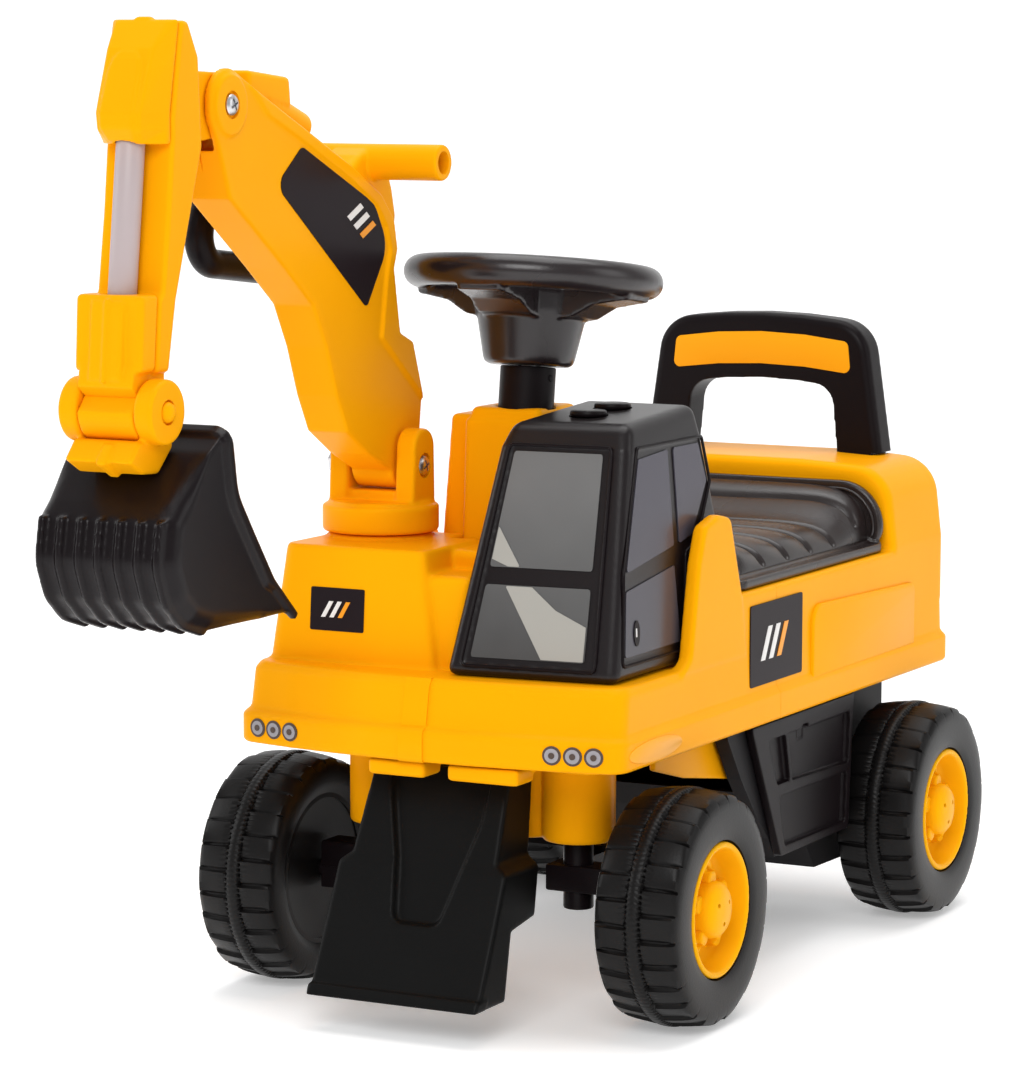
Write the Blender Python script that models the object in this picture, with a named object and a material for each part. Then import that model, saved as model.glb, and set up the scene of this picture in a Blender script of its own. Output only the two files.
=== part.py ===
"""Ride-on toy digger: toddler push-along excavator with a swinging arm, in named separate parts.

The layout below is in millimetres. X points to the toy's left side, -Y is the direction of travel and
+Z is up. The layout's zero is the ground point midway between the axles; FRAME_SHIFT then moves
everything along Y so that the origin lies under the middle of the whole toy.
"""

import math

import bmesh
import bpy
from mathutils import Matrix, Vector

MM = 0.001
GAP = 0.3                    # air between two touching pieces

# Driving dimensions
FRAME_SHIFT = 99.5           # moves the wheelbase middle to the box middle
WHEEL_RADIUS = 66.0
TYRE_WIDTH = 50.0
TRACK = 249.0
WHEELBASE = 336.0
RIM_RADIUS = 37.5
AXLE_RADIUS = 5.0

DECK_HALF = 119.0            # half width of the body's skirt
SKIRT_BOTTOM = 148.0
SKIRT_TOP = 166.0
DECK_TOP = 193.0
WALL_TOP = 226.0             # side walls beside the seat
HUMP_TOP = 279.0             # back rest
BODY_FRONT = -248.0
BODY_REAR = 247.0
SEAM = -23.0                 # joint between the front and the rear body shell
SKIN = 3.0                   # wall of the moulded shells

TOWER_TOP = 258.0
ARM_X = -72.0                # plane of the digging arm
TURRET_Y = -154.0
TURRET_RADIUS = 33.0
TURRET_TOP = 277.0
FOOT = (-152.0, 299.0)       # boom foot pivot, as Y and Z
ELBOW = (-338.0, 503.0)      # stick pivot
WRIST = (-423.0, 350.0)      # bucket pivot
BOOM_HALF = 14.0
STICK_HALF = 20.0
BUCKET_HALF = 42.0
BOLT_RADIUS = 4.0

KINGPIN_X = 61.0
STEER_ARM = 28.0             # kingpin to tie rod pin
CRANK = 18.7                 # steering axis to tie rod slot
STEER_TILT = math.radians(7.0)
WHEEL_CENTRE = (0.0, -105.0, 407.0)
STEER_RING = 64.6
STEER_TUBE = 9.0

FRONT_AXLE_Y = -WHEELBASE / 2
REAR_AXLE_Y = WHEELBASE / 2

COLOURS = {
    "yellow": ((0.93, 0.43, 0.01), 0.35, 0.0),
    "black": ((0.022, 0.019, 0.021), 0.45, 0.0),
    "tyre": ((0.02, 0.019, 0.02), 0.6, 0.0),
    "seat": ((0.03, 0.026, 0.027), 0.5, 0.0),
    "glass": ((0.2, 0.2, 0.21), 0.2, 0.0),
    "orange": ((0.97, 0.42, 0.02), 0.4, 0.0),
    "steel": ((0.6, 0.6, 0.62), 0.3, 1.0),
    "rod": ((0.42, 0.37, 0.38), 0.4, 0.0),
}


# ---------------------------------------------------------------- general helpers

def clear_scene():
    for obj in list(bpy.data.objects):
        bpy.data.objects.remove(obj, do_unlink=True)


def material(name):
    found = bpy.data.materials.get(name)
    if found:
        return found
    colour, roughness, metallic = COLOURS[name.split(".")[0]]
    made = bpy.data.materials.new(name)
    made.use_nodes = True
    shader = made.node_tree.nodes["Principled BSDF"]
    shader.inputs["Base Color"].default_value = (*colour, 1.0)
    shader.inputs["Roughness"].default_value = roughness
    shader.inputs["Metallic"].default_value = metallic
    return made


def finish_object(name, bm, colour, pivot=(0, 0, 0), smooth=35):
    """Turns a bmesh in layout millimetres into an object whose origin is at pivot."""
    bmesh.ops.remove_doubles(bm, verts=bm.verts, dist=1e-4)
    bmesh.ops.recalc_face_normals(bm, faces=bm.faces)
    bmesh.ops.translate(bm, vec=-Vector(pivot), verts=bm.verts)
    bmesh.ops.scale(bm, vec=(MM, MM, MM), verts=bm.verts)
    mesh = bpy.data.meshes.new(name)
    bm.to_mesh(mesh)
    bm.free()
    mesh.shade_smooth()
    mesh.set_sharp_from_angle(angle=math.radians(smooth))
    obj = bpy.data.objects.new(name, mesh)
    mesh.materials.append(material(f"{colour}.{name}"))
    bpy.context.scene.collection.objects.link(obj)
    obj.location = (pivot[0] * MM, (pivot[1] + FRAME_SHIFT) * MM, pivot[2] * MM)
    return obj


def combine(obj, tool, operation):
    """Applies a Boolean of tool on obj and removes tool."""
    modifier = obj.modifiers.new("combine", "BOOLEAN")
    modifier.operation = operation
    modifier.object = tool
    tool.hide_render = True
    tool.display_type = "WIRE"
    bpy.context.view_layer.update()
    graph = bpy.context.evaluated_depsgraph_get()
    result = bpy.data.meshes.new_from_object(obj.evaluated_get(graph))
    obj.modifiers.clear()
    own = obj.data.materials[0]
    obj.data = result
    result.materials.clear()
    result.materials.append(own)
    for face in result.polygons:
        face.material_index = 0
    bpy.data.objects.remove(tool, do_unlink=True)
    return obj


def add(obj, *tools):
    for tool in tools:
        combine(obj, tool, "UNION")
    return obj


def cut(obj, *tools):
    for tool in tools:
        combine(obj, tool, "DIFFERENCE")
    return obj


# ---------------------------------------------------------------- outlines

def rounded(corners, radii, steps=3):
    """A closed outline with its corners rounded; radii is one number or one for each corner."""
    count = len(corners)
    if not isinstance(radii, (list, tuple)):
        radii = [radii] * count
    points = []
    for i, radius in enumerate(radii):
        here = Vector(corners[i])
        if radius <= 0:
            points.append(tuple(here))
            continue
        to_last = (Vector(corners[i - 1]) - here).normalized()
        to_next = (Vector(corners[(i + 1) % count]) - here).normalized()
        half = to_last.angle(to_next) / 2
        reach = radius / math.tan(half)
        centre = here + (to_last + to_next).normalized() * radius / math.sin(half)
        start = here + to_last * reach - centre
        end = here + to_next * reach - centre
        for step in range(steps + 1):
            arm = start.lerp(end, step / steps).normalized() * radius
            points.append(tuple(centre + arm))
    return points


def circle(centre, radius, count=20, start=0.0, turn=2 * math.pi):
    step = turn / (count if turn == 2 * math.pi else count - 1)
    return [(centre[0] + radius * math.cos(start + step * i), centre[1] + radius * math.sin(start + step * i))
            for i in range(count)]


def plan(half, front, rear, bow, radius, steps=3):
    """Plan outline of the body: straight sides, rounded corners and a front edge bowed forwards."""
    corners = [(-half, rear), (-half, front + bow)]
    corners += [(half * t, front + bow * t * t) for t in (-0.6, -0.2, 0.2, 0.6)]
    corners += [(half, front + bow), (half, rear)]
    return rounded(corners, [radius, radius, 0, 0, 0, 0, radius, radius], steps)


# ---------------------------------------------------------------- solids

def loft_bmesh(rings):
    """A closed solid through rings of equally many points."""
    bm = bmesh.new()
    rows = [[bm.verts.new(point) for point in ring] for ring in rings]
    count = len(rows[0])
    for low, high in zip(rows, rows[1:]):
        for i in range(count):
            bm.faces.new((low[i], low[(i + 1) % count], high[(i + 1) % count], high[i]))
    bm.faces.new(reversed(rows[0]))
    bm.faces.new(rows[-1])
    return bm


def loft(name, rings, colour="yellow", pivot=(0, 0, 0), smooth=35):
    return finish_object(name, loft_bmesh(rings), colour, pivot, smooth)


def prism(name, axis, outline, low, high, colour="yellow", pivot=(0, 0, 0)):
    """An outline pulled along an axis: (y, z) along X, (x, z) along Y or (x, y) along Z."""
    place = {
        "X": lambda a, b, t: (t, a, b),
        "Y": lambda a, b, t: (a, t, b),
        "Z": lambda a, b, t: (a, b, t),
    }[axis]
    rings = [[place(a, b, level) for a, b in outline] for level in (low, high)]
    return loft(name, rings, colour, pivot)


def box(name, low, high, colour="yellow", pivot=(0, 0, 0)):
    outline = [(low[0], low[1]), (high[0], low[1]), (high[0], high[1]), (low[0], high[1])]
    return prism(name, "Z", outline, low[2], high[2], colour, pivot)


def rod(name, start, end, radius, colour="steel", sides=16, pivot=(0, 0, 0)):
    """A round bar from start to end."""
    start = Vector(start)
    along = (Vector(end) - start).normalized()
    side = along.orthogonal().normalized()
    up = along.cross(side)
    rings = []
    for centre in (start, Vector(end)):
        rings.append([centre + side * (radius * math.cos(a)) + up * (radius * math.sin(a))
                      for a in (2 * math.pi * i / sides for i in range(sides))])
    return loft(name, rings, colour, pivot)


def turned(name, profile, origin, direction, colour, sides=28, pivot=(0, 0, 0)):
    """A closed (distance, radius) profile turned round the line through origin along direction."""
    along = Vector(direction).normalized()
    side = Vector((0, 1, 0)) - along * along.y
    side.normalize()
    up = along.cross(side)
    bm = bmesh.new()
    rows = []
    for i in range(sides):
        angle = 2 * math.pi * i / sides
        spoke = side * math.cos(angle) + up * math.sin(angle)
        rows.append([bm.verts.new(Vector(origin) + along * d + spoke * r) for d, r in profile])
    count = len(profile)
    for i, row in enumerate(rows):
        after = rows[(i + 1) % sides]
        for j in range(count):
            k = (j + 1) % count
            bm.faces.new((row[j], row[k], after[k], after[j]))
    return finish_object(name, bm, colour, pivot)


def hoop(name, path, radius, colour, sides=10, pivot=(0, 0, 0)):
    """A closed round tube along a loop of points."""
    bm = bmesh.new()
    centre = sum((Vector(p) for p in path), Vector()) / len(path)
    rows = []
    for i, point in enumerate(path):
        ahead = (Vector(path[(i + 1) % len(path)]) - Vector(path[i - 1])).normalized()
        normal = ahead.cross(Vector(point) - centre).normalized()
        out = normal.cross(ahead).normalized()
        rows.append([bm.verts.new(Vector(point) + (out * math.cos(a) + normal * math.sin(a)) * radius)
                     for a in (2 * math.pi * j / sides for j in range(sides))])
    for i, row in enumerate(rows):
        after = rows[(i + 1) % len(rows)]
        for j in range(sides):
            k = (j + 1) % sides
            bm.faces.new((row[j], row[k], after[k], after[j]))
    return finish_object(name, bm, colour, pivot)


def section(z, low_x, high_x, front, rear):
    """One level of a tapered box."""
    return [(low_x, front, z), (high_x, front, z), (high_x, rear, z), (low_x, rear, z)]


# ---------------------------------------------------------------- body shells

def skirt_and_deck(name, grow):
    """The skirt and the deck over it, over the whole length; grow shrinks it for the hollow inside."""
    levels = [(SKIRT_BOTTOM, DECK_HALF, BODY_FRONT), (SKIRT_TOP - 2, DECK_HALF, BODY_FRONT), (SKIRT_TOP, 117.2, -245.0),
              (DECK_TOP - 4, 115.8, -239.5), (DECK_TOP, 113.5, -236.5)]
    rings = []
    for z, half, front in levels:
        outline = plan(half - grow, front + grow, BODY_REAR - grow - (DECK_HALF - half), 14.0, 11.0)
        top = z - grow if z > SKIRT_TOP else z
        rings.append([(x, y, top) for x, y in outline])
    if grow:
        rings[0] = [(x, y, SKIRT_BOTTOM - 10) for x, y, _ in rings[0]]
    return loft(name, rings)


def side_walls(name, grow):
    """The walls round the seat and the hump behind it."""
    half = 115.6 - grow
    outline = rounded([(-half, -76.0 + grow), (half, -76.0 + grow), (half, 243.0 - grow), (-half, 243.0 - grow)],
                      [2, 2, 14, 14], 2)
    bottom = DECK_TOP - 15 if grow == 0 else DECK_TOP - 25
    walls = prism(name, "Z", outline, bottom, WALL_TOP - grow)
    top = HUMP_TOP - grow
    profile = [(-half, bottom + 5), (-half + 3, WALL_TOP + 24), (-half + 9, HUMP_TOP - 13), (-half + 24, top - 4),
               (-60, top), (60, top), (half - 24, top - 4), (half - 9, HUMP_TOP - 13), (half - 3, WALL_TOP + 24),
               (half, bottom + 5)]
    hump = prism("hump", "Y", profile, 157.0 + grow, 240.0 - grow)
    return add(walls, hump)


def tower(name, grow):
    """The raised block in front that carries the digging arm."""
    low = [(-113, -215), (-4, -215), (-4, -141), (-34, -141), (-34, -122), (-60, -122), (-60, -100), (-113, -100)]
    top = [(-104, -210), (-14, -210), (-14, -141), (-34, -141), (-34, -122), (-60, -122), (-60, -104), (-104, -104)]
    middle = Vector((-70, -158))
    rings = []
    for z, outline in ((DECK_TOP - 6, low), (TOWER_TOP - grow, top)):
        ring = []
        for point in outline:
            x = point[0] + math.copysign(grow, middle.x - point[0])
            y = point[1] + math.copysign(grow, middle.y - point[1])
            ring.append((x, y, z))
        rings.append(ring)
    return loft(name, rings)


def shoulder(name, grow):
    """The two steps that fill the space between the tower and the cab."""
    low = DECK_TOP - (23.0 if grow else 4.0)
    outline = [(-30, low), (6.3 - grow, low), (14.5 - grow, 245 - grow), (-30, 245 - grow)]
    step = prism(name, "Y", outline, -213.0 + grow, -141.0 - grow)
    upper = [(-30, low), (6.3 - grow, low), (16.2 - grow, 256 - grow), (-30, 256 - grow)]
    return add(step, prism("upper_step", "Y", upper, -178.0 + grow, -141.0 - grow))


def body_shell():
    outer = skirt_and_deck("body_whole", 0.0)
    add(outer, side_walls("walls", 0.0), tower("tower", 0.0), shoulder("shoulder", 0.0))
    collar = rod("collar", (ARM_X, TURRET_Y, TOWER_TOP - 2), (ARM_X, TURRET_Y, TOWER_TOP + 3), 29.5, sides=32)
    pillar = prism("pillar", "X", rounded([(-152, 190), (-141, 199), (-131, 250), (-122, 271), (-103, 276), (-87, 272),
                                           (-72, 228), (-65, 190)], [0, 3, 4, 5, 4, 5, 4, 0], 2), 108.4, 116.2)
    add(outer, collar, pillar)
    cut(outer, skirt_and_deck("deck_hollow", SKIN), side_walls("wall_hollow", SKIN), tower("tower_hollow", SKIN),
        shoulder("shoulder_hollow", SKIN))
    cut(outer, box("tower_way", (-100, -205, DECK_TOP - 20), (-20, -145, DECK_TOP + 4)))
    cut(outer, box("seat_way", (-100, -56, DECK_TOP - 10), (100, 140, WALL_TOP + 10)))
    cut(outer, rod("swing_bore", (ARM_X, TURRET_Y, TOWER_TOP - 20), (ARM_X, TURRET_Y, TOWER_TOP + 10), 14.4, sides=24))
    cut(outer, rod("steer_way", steer_point(160), steer_point(240), 8.0))
    for side in (-1, 1):
        low, high = sorted((side * 54.6, side * 77.0))
        cut(outer, box("leg_slot", (low, 213.0, HUMP_TOP - 20), (high, 239.0, HUMP_TOP + 10)))
    return outer


def split_body():
    whole = body_shell()
    for name, low, high in (("body_front", BODY_FRONT - 20, SEAM - GAP / 2), ("body_rear", SEAM + GAP / 2, BODY_REAR + 20)):
        half = whole.copy()
        half.data = whole.data.copy()
        half.name = name
        bpy.context.scene.collection.objects.link(half)
        half.data.materials[0] = material(f"yellow.{name}")
        keep = box("keep", (-200, low, 0), (200, high, 400))
        combine(half, keep, "INTERSECT")
    bpy.data.objects.remove(whole, do_unlink=True)


# ---------------------------------------------------------------- chassis

def steer_point(z):
    """The point of the tilted steering axis at a height."""
    return (0.0, WHEEL_CENTRE[1] - (WHEEL_CENTRE[2] - z) * math.tan(STEER_TILT), z)


def front_carrier():
    top = SKIRT_BOTTOM - GAP
    plate = prism("front_axle_carrier", "Z", rounded([(-99, -224), (99, -224), (98.5, -60), (-98.5, -60)], 8, 2),
                  top - 3, top)
    for side in (-1, 1):
        add(plate, rod("post", (side * KINGPIN_X, FRONT_AXLE_Y, 98), (side * KINGPIN_X, FRONT_AXLE_Y, top - 1), 20.5,
                       sides=24))
        add(plate, rod("screw_post", (side * 34, FRONT_AXLE_Y - 4, 98), (side * 34, FRONT_AXLE_Y - 4, top - 1), 11.0))
        cut(plate, rod("bore", (side * KINGPIN_X, FRONT_AXLE_Y, 90), (side * KINGPIN_X, FRONT_AXLE_Y, 134), 6.4))
        low, high = sorted((side * 95, side * 98.5))
        wall = [(-150, top - 1), (-150, 136), (-109, 125.5), (-36, 113.5), (-36, top - 1)]
        add(plate, prism("arch_wall", "X", wall, low, high))
    for low, high in ((-31, 4), (18, 61)):
        add(plate, box("lug", (low, -237, top - 9), (high, -222, top - 1)))
    return cut(plate, rod("steer_bore", steer_point(130), steer_point(160), 6.0))


def front_blade():
    levels = [(19, 52.5, -272, -239), (56, 52.2, -254, -231), (60, 52.1, -252, -203), (88, 52, -239, -198),
              (93, 45, -236, -197), (SKIRT_BOTTOM - 8 - 2 * GAP, 42, -214.5, -186)]
    blade = loft("front_blade", [section(z, -half, half, front, rear) for z, half, front, rear in levels], "black")
    hollow = [(23, 49, -266.5), (58, 49, -249.5), (89, 49, -235), (92, 42, -233.5), (135.5, 39, -213)]
    return cut(blade, loft("blade_hollow", [section(z, -half, half, front, -175) for z, half, front in hollow]))


def chassis_tub():
    top = SKIRT_BOTTOM - GAP
    outline = [(-77, top), (-76, 143), (-57, 117), (-36, 93), (-18, 76.5), (-9, 64), (85, 64), (94, 70), (97, 140),
               (97, top)]
    inner = [(-73, top + 5), (-72, 144), (-53, 119), (-33, 96), (-15, 79.5), (-7, 67), (84, 67), (91, 73),
             (94, top + 5)]
    tub = prism("chassis_tub", "X", outline, -109.6, 109.6, "black")
    cut(tub, prism("tub_hollow", "X", inner, -106.6, 106.6))
    return cut(tub, box("arch_way", (-101, -95, 108), (101, -33, top + 10)))


def side_panel(name, side):
    outline = [(-53, 146), (-53, 144), (-11, 65), (88, 65), (91.5, 68), (96.5, 140), (96.5, 146)]
    low, high = sorted((side * (109.6 + GAP), side * 115.0))
    panel = prism(name, "X", outline, low, high, "black")
    pocket = [(-30, 137), (-17, 108.5), (90, 105), (92, 136.5)]
    lower = [(-14, 101), (-4, 71), (86, 70), (88, 98)]
    low, high = sorted((side * 112.0, side * 118.0))
    return cut(panel, prism("pocket", "X", pocket, low, high), prism("lower_pocket", "X", lower, low, high))


def rear_carrier():
    top = SKIRT_BOTTOM - GAP
    outline = [(97 + GAP, top), (97 + GAP, 63.4), (72, 63.4), (92, 38), (182, 36), (198, 60), (198, top)]
    beam = prism("rear_axle_carrier", "X", outline, -92, 92, "black")
    cut(beam, box("beam_hollow", (-88, 101, 42), (88, 194, top + 10)))
    return cut(beam, rod("axle_bore", (-100, REAR_AXLE_Y, WHEEL_RADIUS), (100, REAR_AXLE_Y, WHEEL_RADIUS),
                         AXLE_RADIUS + GAP, sides=16))


def storage_bin():
    tub = box("storage_bin", (-98, -54, 151), (98, 138, WALL_TOP - 6), "black")
    return cut(tub, box("bin_hollow", (-95.5, -51.5, 153.5), (95.5, 135.5, WALL_TOP + 5)))


def battery_box():
    case = box("battery_box", (-32, 4, 67.6), (32, 64, 94), "black")
    cut(case, box("battery_hollow", (-30, 6, 70), (30, 62, 98)))
    box("battery_cover", (-31, 5, 94 + GAP), (31, 63, 96.5), "black")


def console():
    low = [(-57, -119), (-30, -119), (-30, -139), (3, -139), (5, -78), (-57, -78)]
    top = [(-46, -119), (-30, -119), (-28, -136), (19, -136), (20, -82), (-46, -82)]
    rings = [[(x, y, DECK_TOP + GAP) for x, y in low], [(x, y, 326) for x, y in top]]
    cowl = loft("console_cowl", rings)
    add(cowl, loft("pad", [section(320, -28, 19, -135, -83), section(332, -26, 18, -133, -86)]))
    inner_low = [(-54, -116), (-27, -116), (-27, -136), (0, -136), (2, -81), (-54, -81)]
    inner_top = [(-43, -116), (-27, -116), (-25, -133), (16, -133), (17, -85), (-43, -85)]
    hollow = [[(x, y, DECK_TOP - 5) for x, y in inner_low], [(x, y, 323) for x, y in inner_top]]
    cut(cowl, loft("cowl_hollow", hollow))
    cut(cowl, rod("shaft_way", steer_point(185), steer_point(320), 6.5))
    return cut(cowl, rod("column_bore", steer_point(315), steer_point(345), 16.2, sides=24))


# ---------------------------------------------------------------- cab

CAB_TOP = 329.0
CAB_REAR = [(DECK_TOP + GAP, -121.0), (232.0, -100.0), (270.0, -80.0), (318.0, -103.0), (CAB_TOP, -110.0)]


def cab_front(share, across):
    """A point of the sloping windscreen: share goes up it and across goes from the right to the left side."""
    z = DECK_TOP + GAP + share * (CAB_TOP - DECK_TOP - GAP)
    right = Vector((7.0 + 22.0 * share, -226.0 + 28.5 * share, z))
    left = Vector((107.0 - 4.5 * share, -217.0 + 25.0 * share, z))
    return right.lerp(left, across)


def cab_ring(z, rear, inset=0.0, lower=0.0):
    share = (z - DECK_TOP - GAP) / (CAB_TOP - DECK_TOP - GAP)
    near, far = cab_front(share, 0.0), cab_front(share, 1.0)
    z -= lower
    return [(near.x + inset, near.y + inset, z), (far.x - inset, far.y + inset, z),
            (far.x - inset, rear - inset, z), (near.x + inset, rear - inset, z)]


def cab_shell():
    roof = [(38.0, -178.0, 335.0), (94.0, -174.0, 335.0), (94.0, -118.0, 335.0), (38.0, -118.0, 335.0)]
    cab = loft("cab_shell", [cab_ring(z, rear) for z, rear in CAB_REAR] + [roof], "black", smooth=25)
    inner = [cab_ring(z, rear, SKIN, SKIN if i else 5.0) for i, (z, rear) in enumerate(CAB_REAR)]
    cut(cab, loft("cab_hollow", inner))
    for x, y in BUTTONS.values():
        cut(cab, rod("button_bore", (x, y, 318), (x, y, 345), 7.0, sides=20))
    return cab


def pane(name, corners, thickness=1.2):
    """A thin plate on a flat or nearly flat face, standing off it by the gap."""
    a, b, c, d = (Vector(corner) for corner in corners)
    normal = (b - a).cross(d - a).normalized()
    rings = [[corner + normal * lift for corner in (a, b, c, d)] for lift in (GAP + 0.3, GAP + 0.3 + thickness)]
    return loft(name, rings, "glass")


def cab_panes():
    pane("cab_front_window", [cab_front(0.05, 0.10), cab_front(0.05, 0.86), cab_front(0.96, 0.86),
                              cab_front(0.96, 0.10)])
    corners = []
    for share, y in ((0.08, -205), (0.08, -145), (0.92, -113), (0.92, -188)):
        corner = cab_front(share, 1.0)
        corners.append((corner.x, y, corner.z))
    pane("cab_side_window", corners)


BUTTONS = {"horn_button": (62.0, -160.0), "sound_button": (62.0, -130.0)}


def cab_buttons():
    for name, (x, y) in BUTTONS.items():
        pivot = (x, y, 335.0)
        cap = rod(name, (x, y, 335.0 + 2.5), (x, y, 335.0 + 5.0), 10.0, "black", 24, pivot)
        add(cap, rod("stem", (x, y, 326.0), (x, y, 335.0 + 4.0), 6.6, sides=20, pivot=pivot))
    case = box("sound_module", (45, -170, 300), (80, -118, 318), "black")
    return cut(case, box("module_hollow", (47, -168, 296), (78, -120, 315)))


# ---------------------------------------------------------------- seat and handle

def seat():
    pivot = (0, -62, WALL_TOP)
    base = prism("seat_base", "Z", rounded([(-111, -62), (111, -62), (111, 151), (-111, 151)], [6, 6, 12, 12], 3),
                 WALL_TOP + GAP, WALL_TOP + 6, "seat", pivot)
    add(base, prism("rear_rise", "Y", rounded([(-110, WALL_TOP + 3), (110, WALL_TOP + 3), (110, 268.5),
                                               (-110, 268.5)], [0, 0, 26, 26], 3), 144, 150, pivot=pivot))
    cut(base, box("base_light", (-90, -46, WALL_TOP - 5), (90, 130, WALL_TOP + 3.5), pivot=pivot))
    bottom = WALL_TOP + 6 + GAP
    levels = [(-60, 4.0), (-52, 13.0), (-30, 17.5), (20, 19.0), (80, 20.5), (118, 25.0), (136, 33.0), (142.5, 37.0)]
    pad = loft("seat_pad", pad_rings(levels, 104, bottom, 1.0), "seat", pivot)
    levels = [(-50, 11.0), (-30, 17.0), (20, 19.0), (80, 20.5), (118, 25.0), (134, 31.0)]
    cut(pad, loft("pad_hollow", pad_rings(levels, 98, bottom - 5, -2.5), pivot=pivot))


def pad_rings(levels, half, floor, lift):
    """Cross-sections of the cushion from front to rear, each higher in the middle by its rise."""
    rings = []
    for y, rise in levels:
        ring = [(-half, y, floor), (half, y, floor)]
        for t in (1.0, 0.92, 0.7, 0.35, 0.0, -0.35, -0.7, -0.92, -1.0):
            height = WALL_TOP + 6 + GAP + lift + rise * (1 - abs(t) ** 4)
            ring.append(((half + 2) * t if abs(t) < 1 else half * t, y, height))
        rings.append(ring)
    return rings


def rear_handle():
    outer = rounded([(-78, HUMP_TOP - 18), (-64, 366), (64, 366), (78, HUMP_TOP - 18)], [0, 20, 20, 0], 4)
    inner = rounded([(57.5, HUMP_TOP - 20), (50, 324), (-50, 324), (-57.5, HUMP_TOP - 20)], [0, 13, 13, 0], 4)
    handle = prism("rear_handle", "Y", outer, 214, 238, "black")
    cut(handle, prism("handle_gap", "Y", inner, 200, 250))
    for side in (-1, 1):
        low, high = sorted((side * 76.4, side * 90))
        cut(handle, box("leg_trim", (low, 200, HUMP_TOP - 30), (high, 250, HUMP_TOP + GAP)))
    inlay = rounded([(-55, 332), (55, 332), (55, 352), (-55, 352)], 5, 3)
    prism("handle_inlay", "Y", inlay, 214 - 1.5, 214 - GAP, "orange")
    return handle


# ---------------------------------------------------------------- wheels and steering

def road_wheel(label, side, y):
    centre = (side * TRACK / 2, y, WHEEL_RADIUS)
    half = TYRE_WIDTH / 2
    bore = RIM_RADIUS + GAP
    hole = AXLE_RADIUS + GAP
    tyre = [(-half + 3, hole), (-half + 3, 42.0), (-half, 48.0), (-half, 58.0), (-half + 3, 62.8), (-half + 10, 64.8),
            (0.0, WHEEL_RADIUS), (half - 10, 64.8), (half - 3, 62.8), (half, 58.0), (half, bore), (half - 3, bore),
            (half - 3, 56.5), (half - 7, 61.0), (-half + 7, 61.0), (-half + 3, 56.5), (-half + 3, 49.0),
            (-half + 6, 42.0), (-half + 6, hole)]
    rim = [(6.0, hole), (6.0, 16.0), (10.0, 33.0), (15.0, RIM_RADIUS), (half - 1, RIM_RADIUS), (half - 1, 34.0),
           (12.0, 31.0), (8.5, 15.0), (18.0, 13.0), (18.0, hole)]
    direction = (side, 0, 0)
    turned(f"tyre_{label}", tyre, centre, direction, "tyre", 28, centre)
    turned(f"rim_{label}", rim, centre, direction, "yellow", 20, centre)
    cap = [(18.0 + 2 * GAP, 13.0), (22.0, 12.0), (23.5, 9.0)]
    loft(f"hub_cap_{label}", [ring_at(centre, side, d, r, 16) for d, r in cap], "yellow", centre)


def ring_at(centre, side, distance, radius, sides):
    return [(centre[0] + side * distance, centre[1] + radius * math.cos(a), centre[2] + radius * math.sin(a))
            for a in (2 * math.pi * i / sides for i in range(sides))]


def rear_axle():
    end = TRACK / 2 + 18.0
    rod("rear_axle", (-end, REAR_AXLE_Y, WHEEL_RADIUS), (end, REAR_AXLE_Y, WHEEL_RADIUS), AXLE_RADIUS)


def knuckle(name, side):
    x = side * KINGPIN_X
    y = FRONT_AXLE_Y
    pivot = (x, y, WHEEL_RADIUS)
    post = rod(name, (x, y, 59), (x, y, 97), 8.5, "black", 20, pivot)
    outer = TRACK / 2 - TYRE_WIDTH / 2 - 1
    low, high = sorted((side * 45, side * outer))
    add(post, box("arm", (low, y - 10, 69), (high, y + 10, 84), pivot=pivot))
    low, high = sorted((side * 84, side * outer))
    add(post, box("stub_block", (low, y - 9, 57), (high, y + 9, 71), pivot=pivot))
    add(post, rod("stub", (side * 95, y, WHEEL_RADIUS), (side * (TRACK / 2 + 18), y, WHEEL_RADIUS), AXLE_RADIUS,
                  sides=16, pivot=pivot))
    add(post, rod("kingpin", (x, y, 90), (x, y, 132), 6.0, sides=20, pivot=pivot))
    add(post, box("steer_arm", (x - 5, y, 79), (x + 5, y + STEER_ARM + 5, 87), pivot=pivot))
    return add(post, rod("pin", (x, y + STEER_ARM, 85), (x, y + STEER_ARM, 94), 3.0, pivot=pivot, sides=12))


def tie_rod():
    y = FRONT_AXLE_Y + STEER_ARM
    bar = prism("tie_rod", "Z", rounded([(-71, y - 9), (71, y - 9), (71, y + 7), (-71, y + 7)], 5, 2), 87 + GAP, 91,
                "black")
    add(bar, box("tab", (-9, y, 87 + GAP), (9, y + 27, 91)))
    drop = CRANK * (1 - math.cos(math.radians(35)))
    slots = [(side * KINGPIN_X, y, 3.0) for side in (-1, 1)] + [(0.0, steer_point(91)[1] + CRANK, drop)]
    for x, slot_y, travel in slots:
        cut(bar, box("slot", (x - 3.9, slot_y - travel - 3.9, 80), (x + 3.9, slot_y + 3.9, 100)))
    for side in (-1, 1):
        low, high = sorted((side * 12, side * 46))
        cut(bar, box("waist", (low, y - 12, 80), (high, y - 3, 100)))
    return bar


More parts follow.
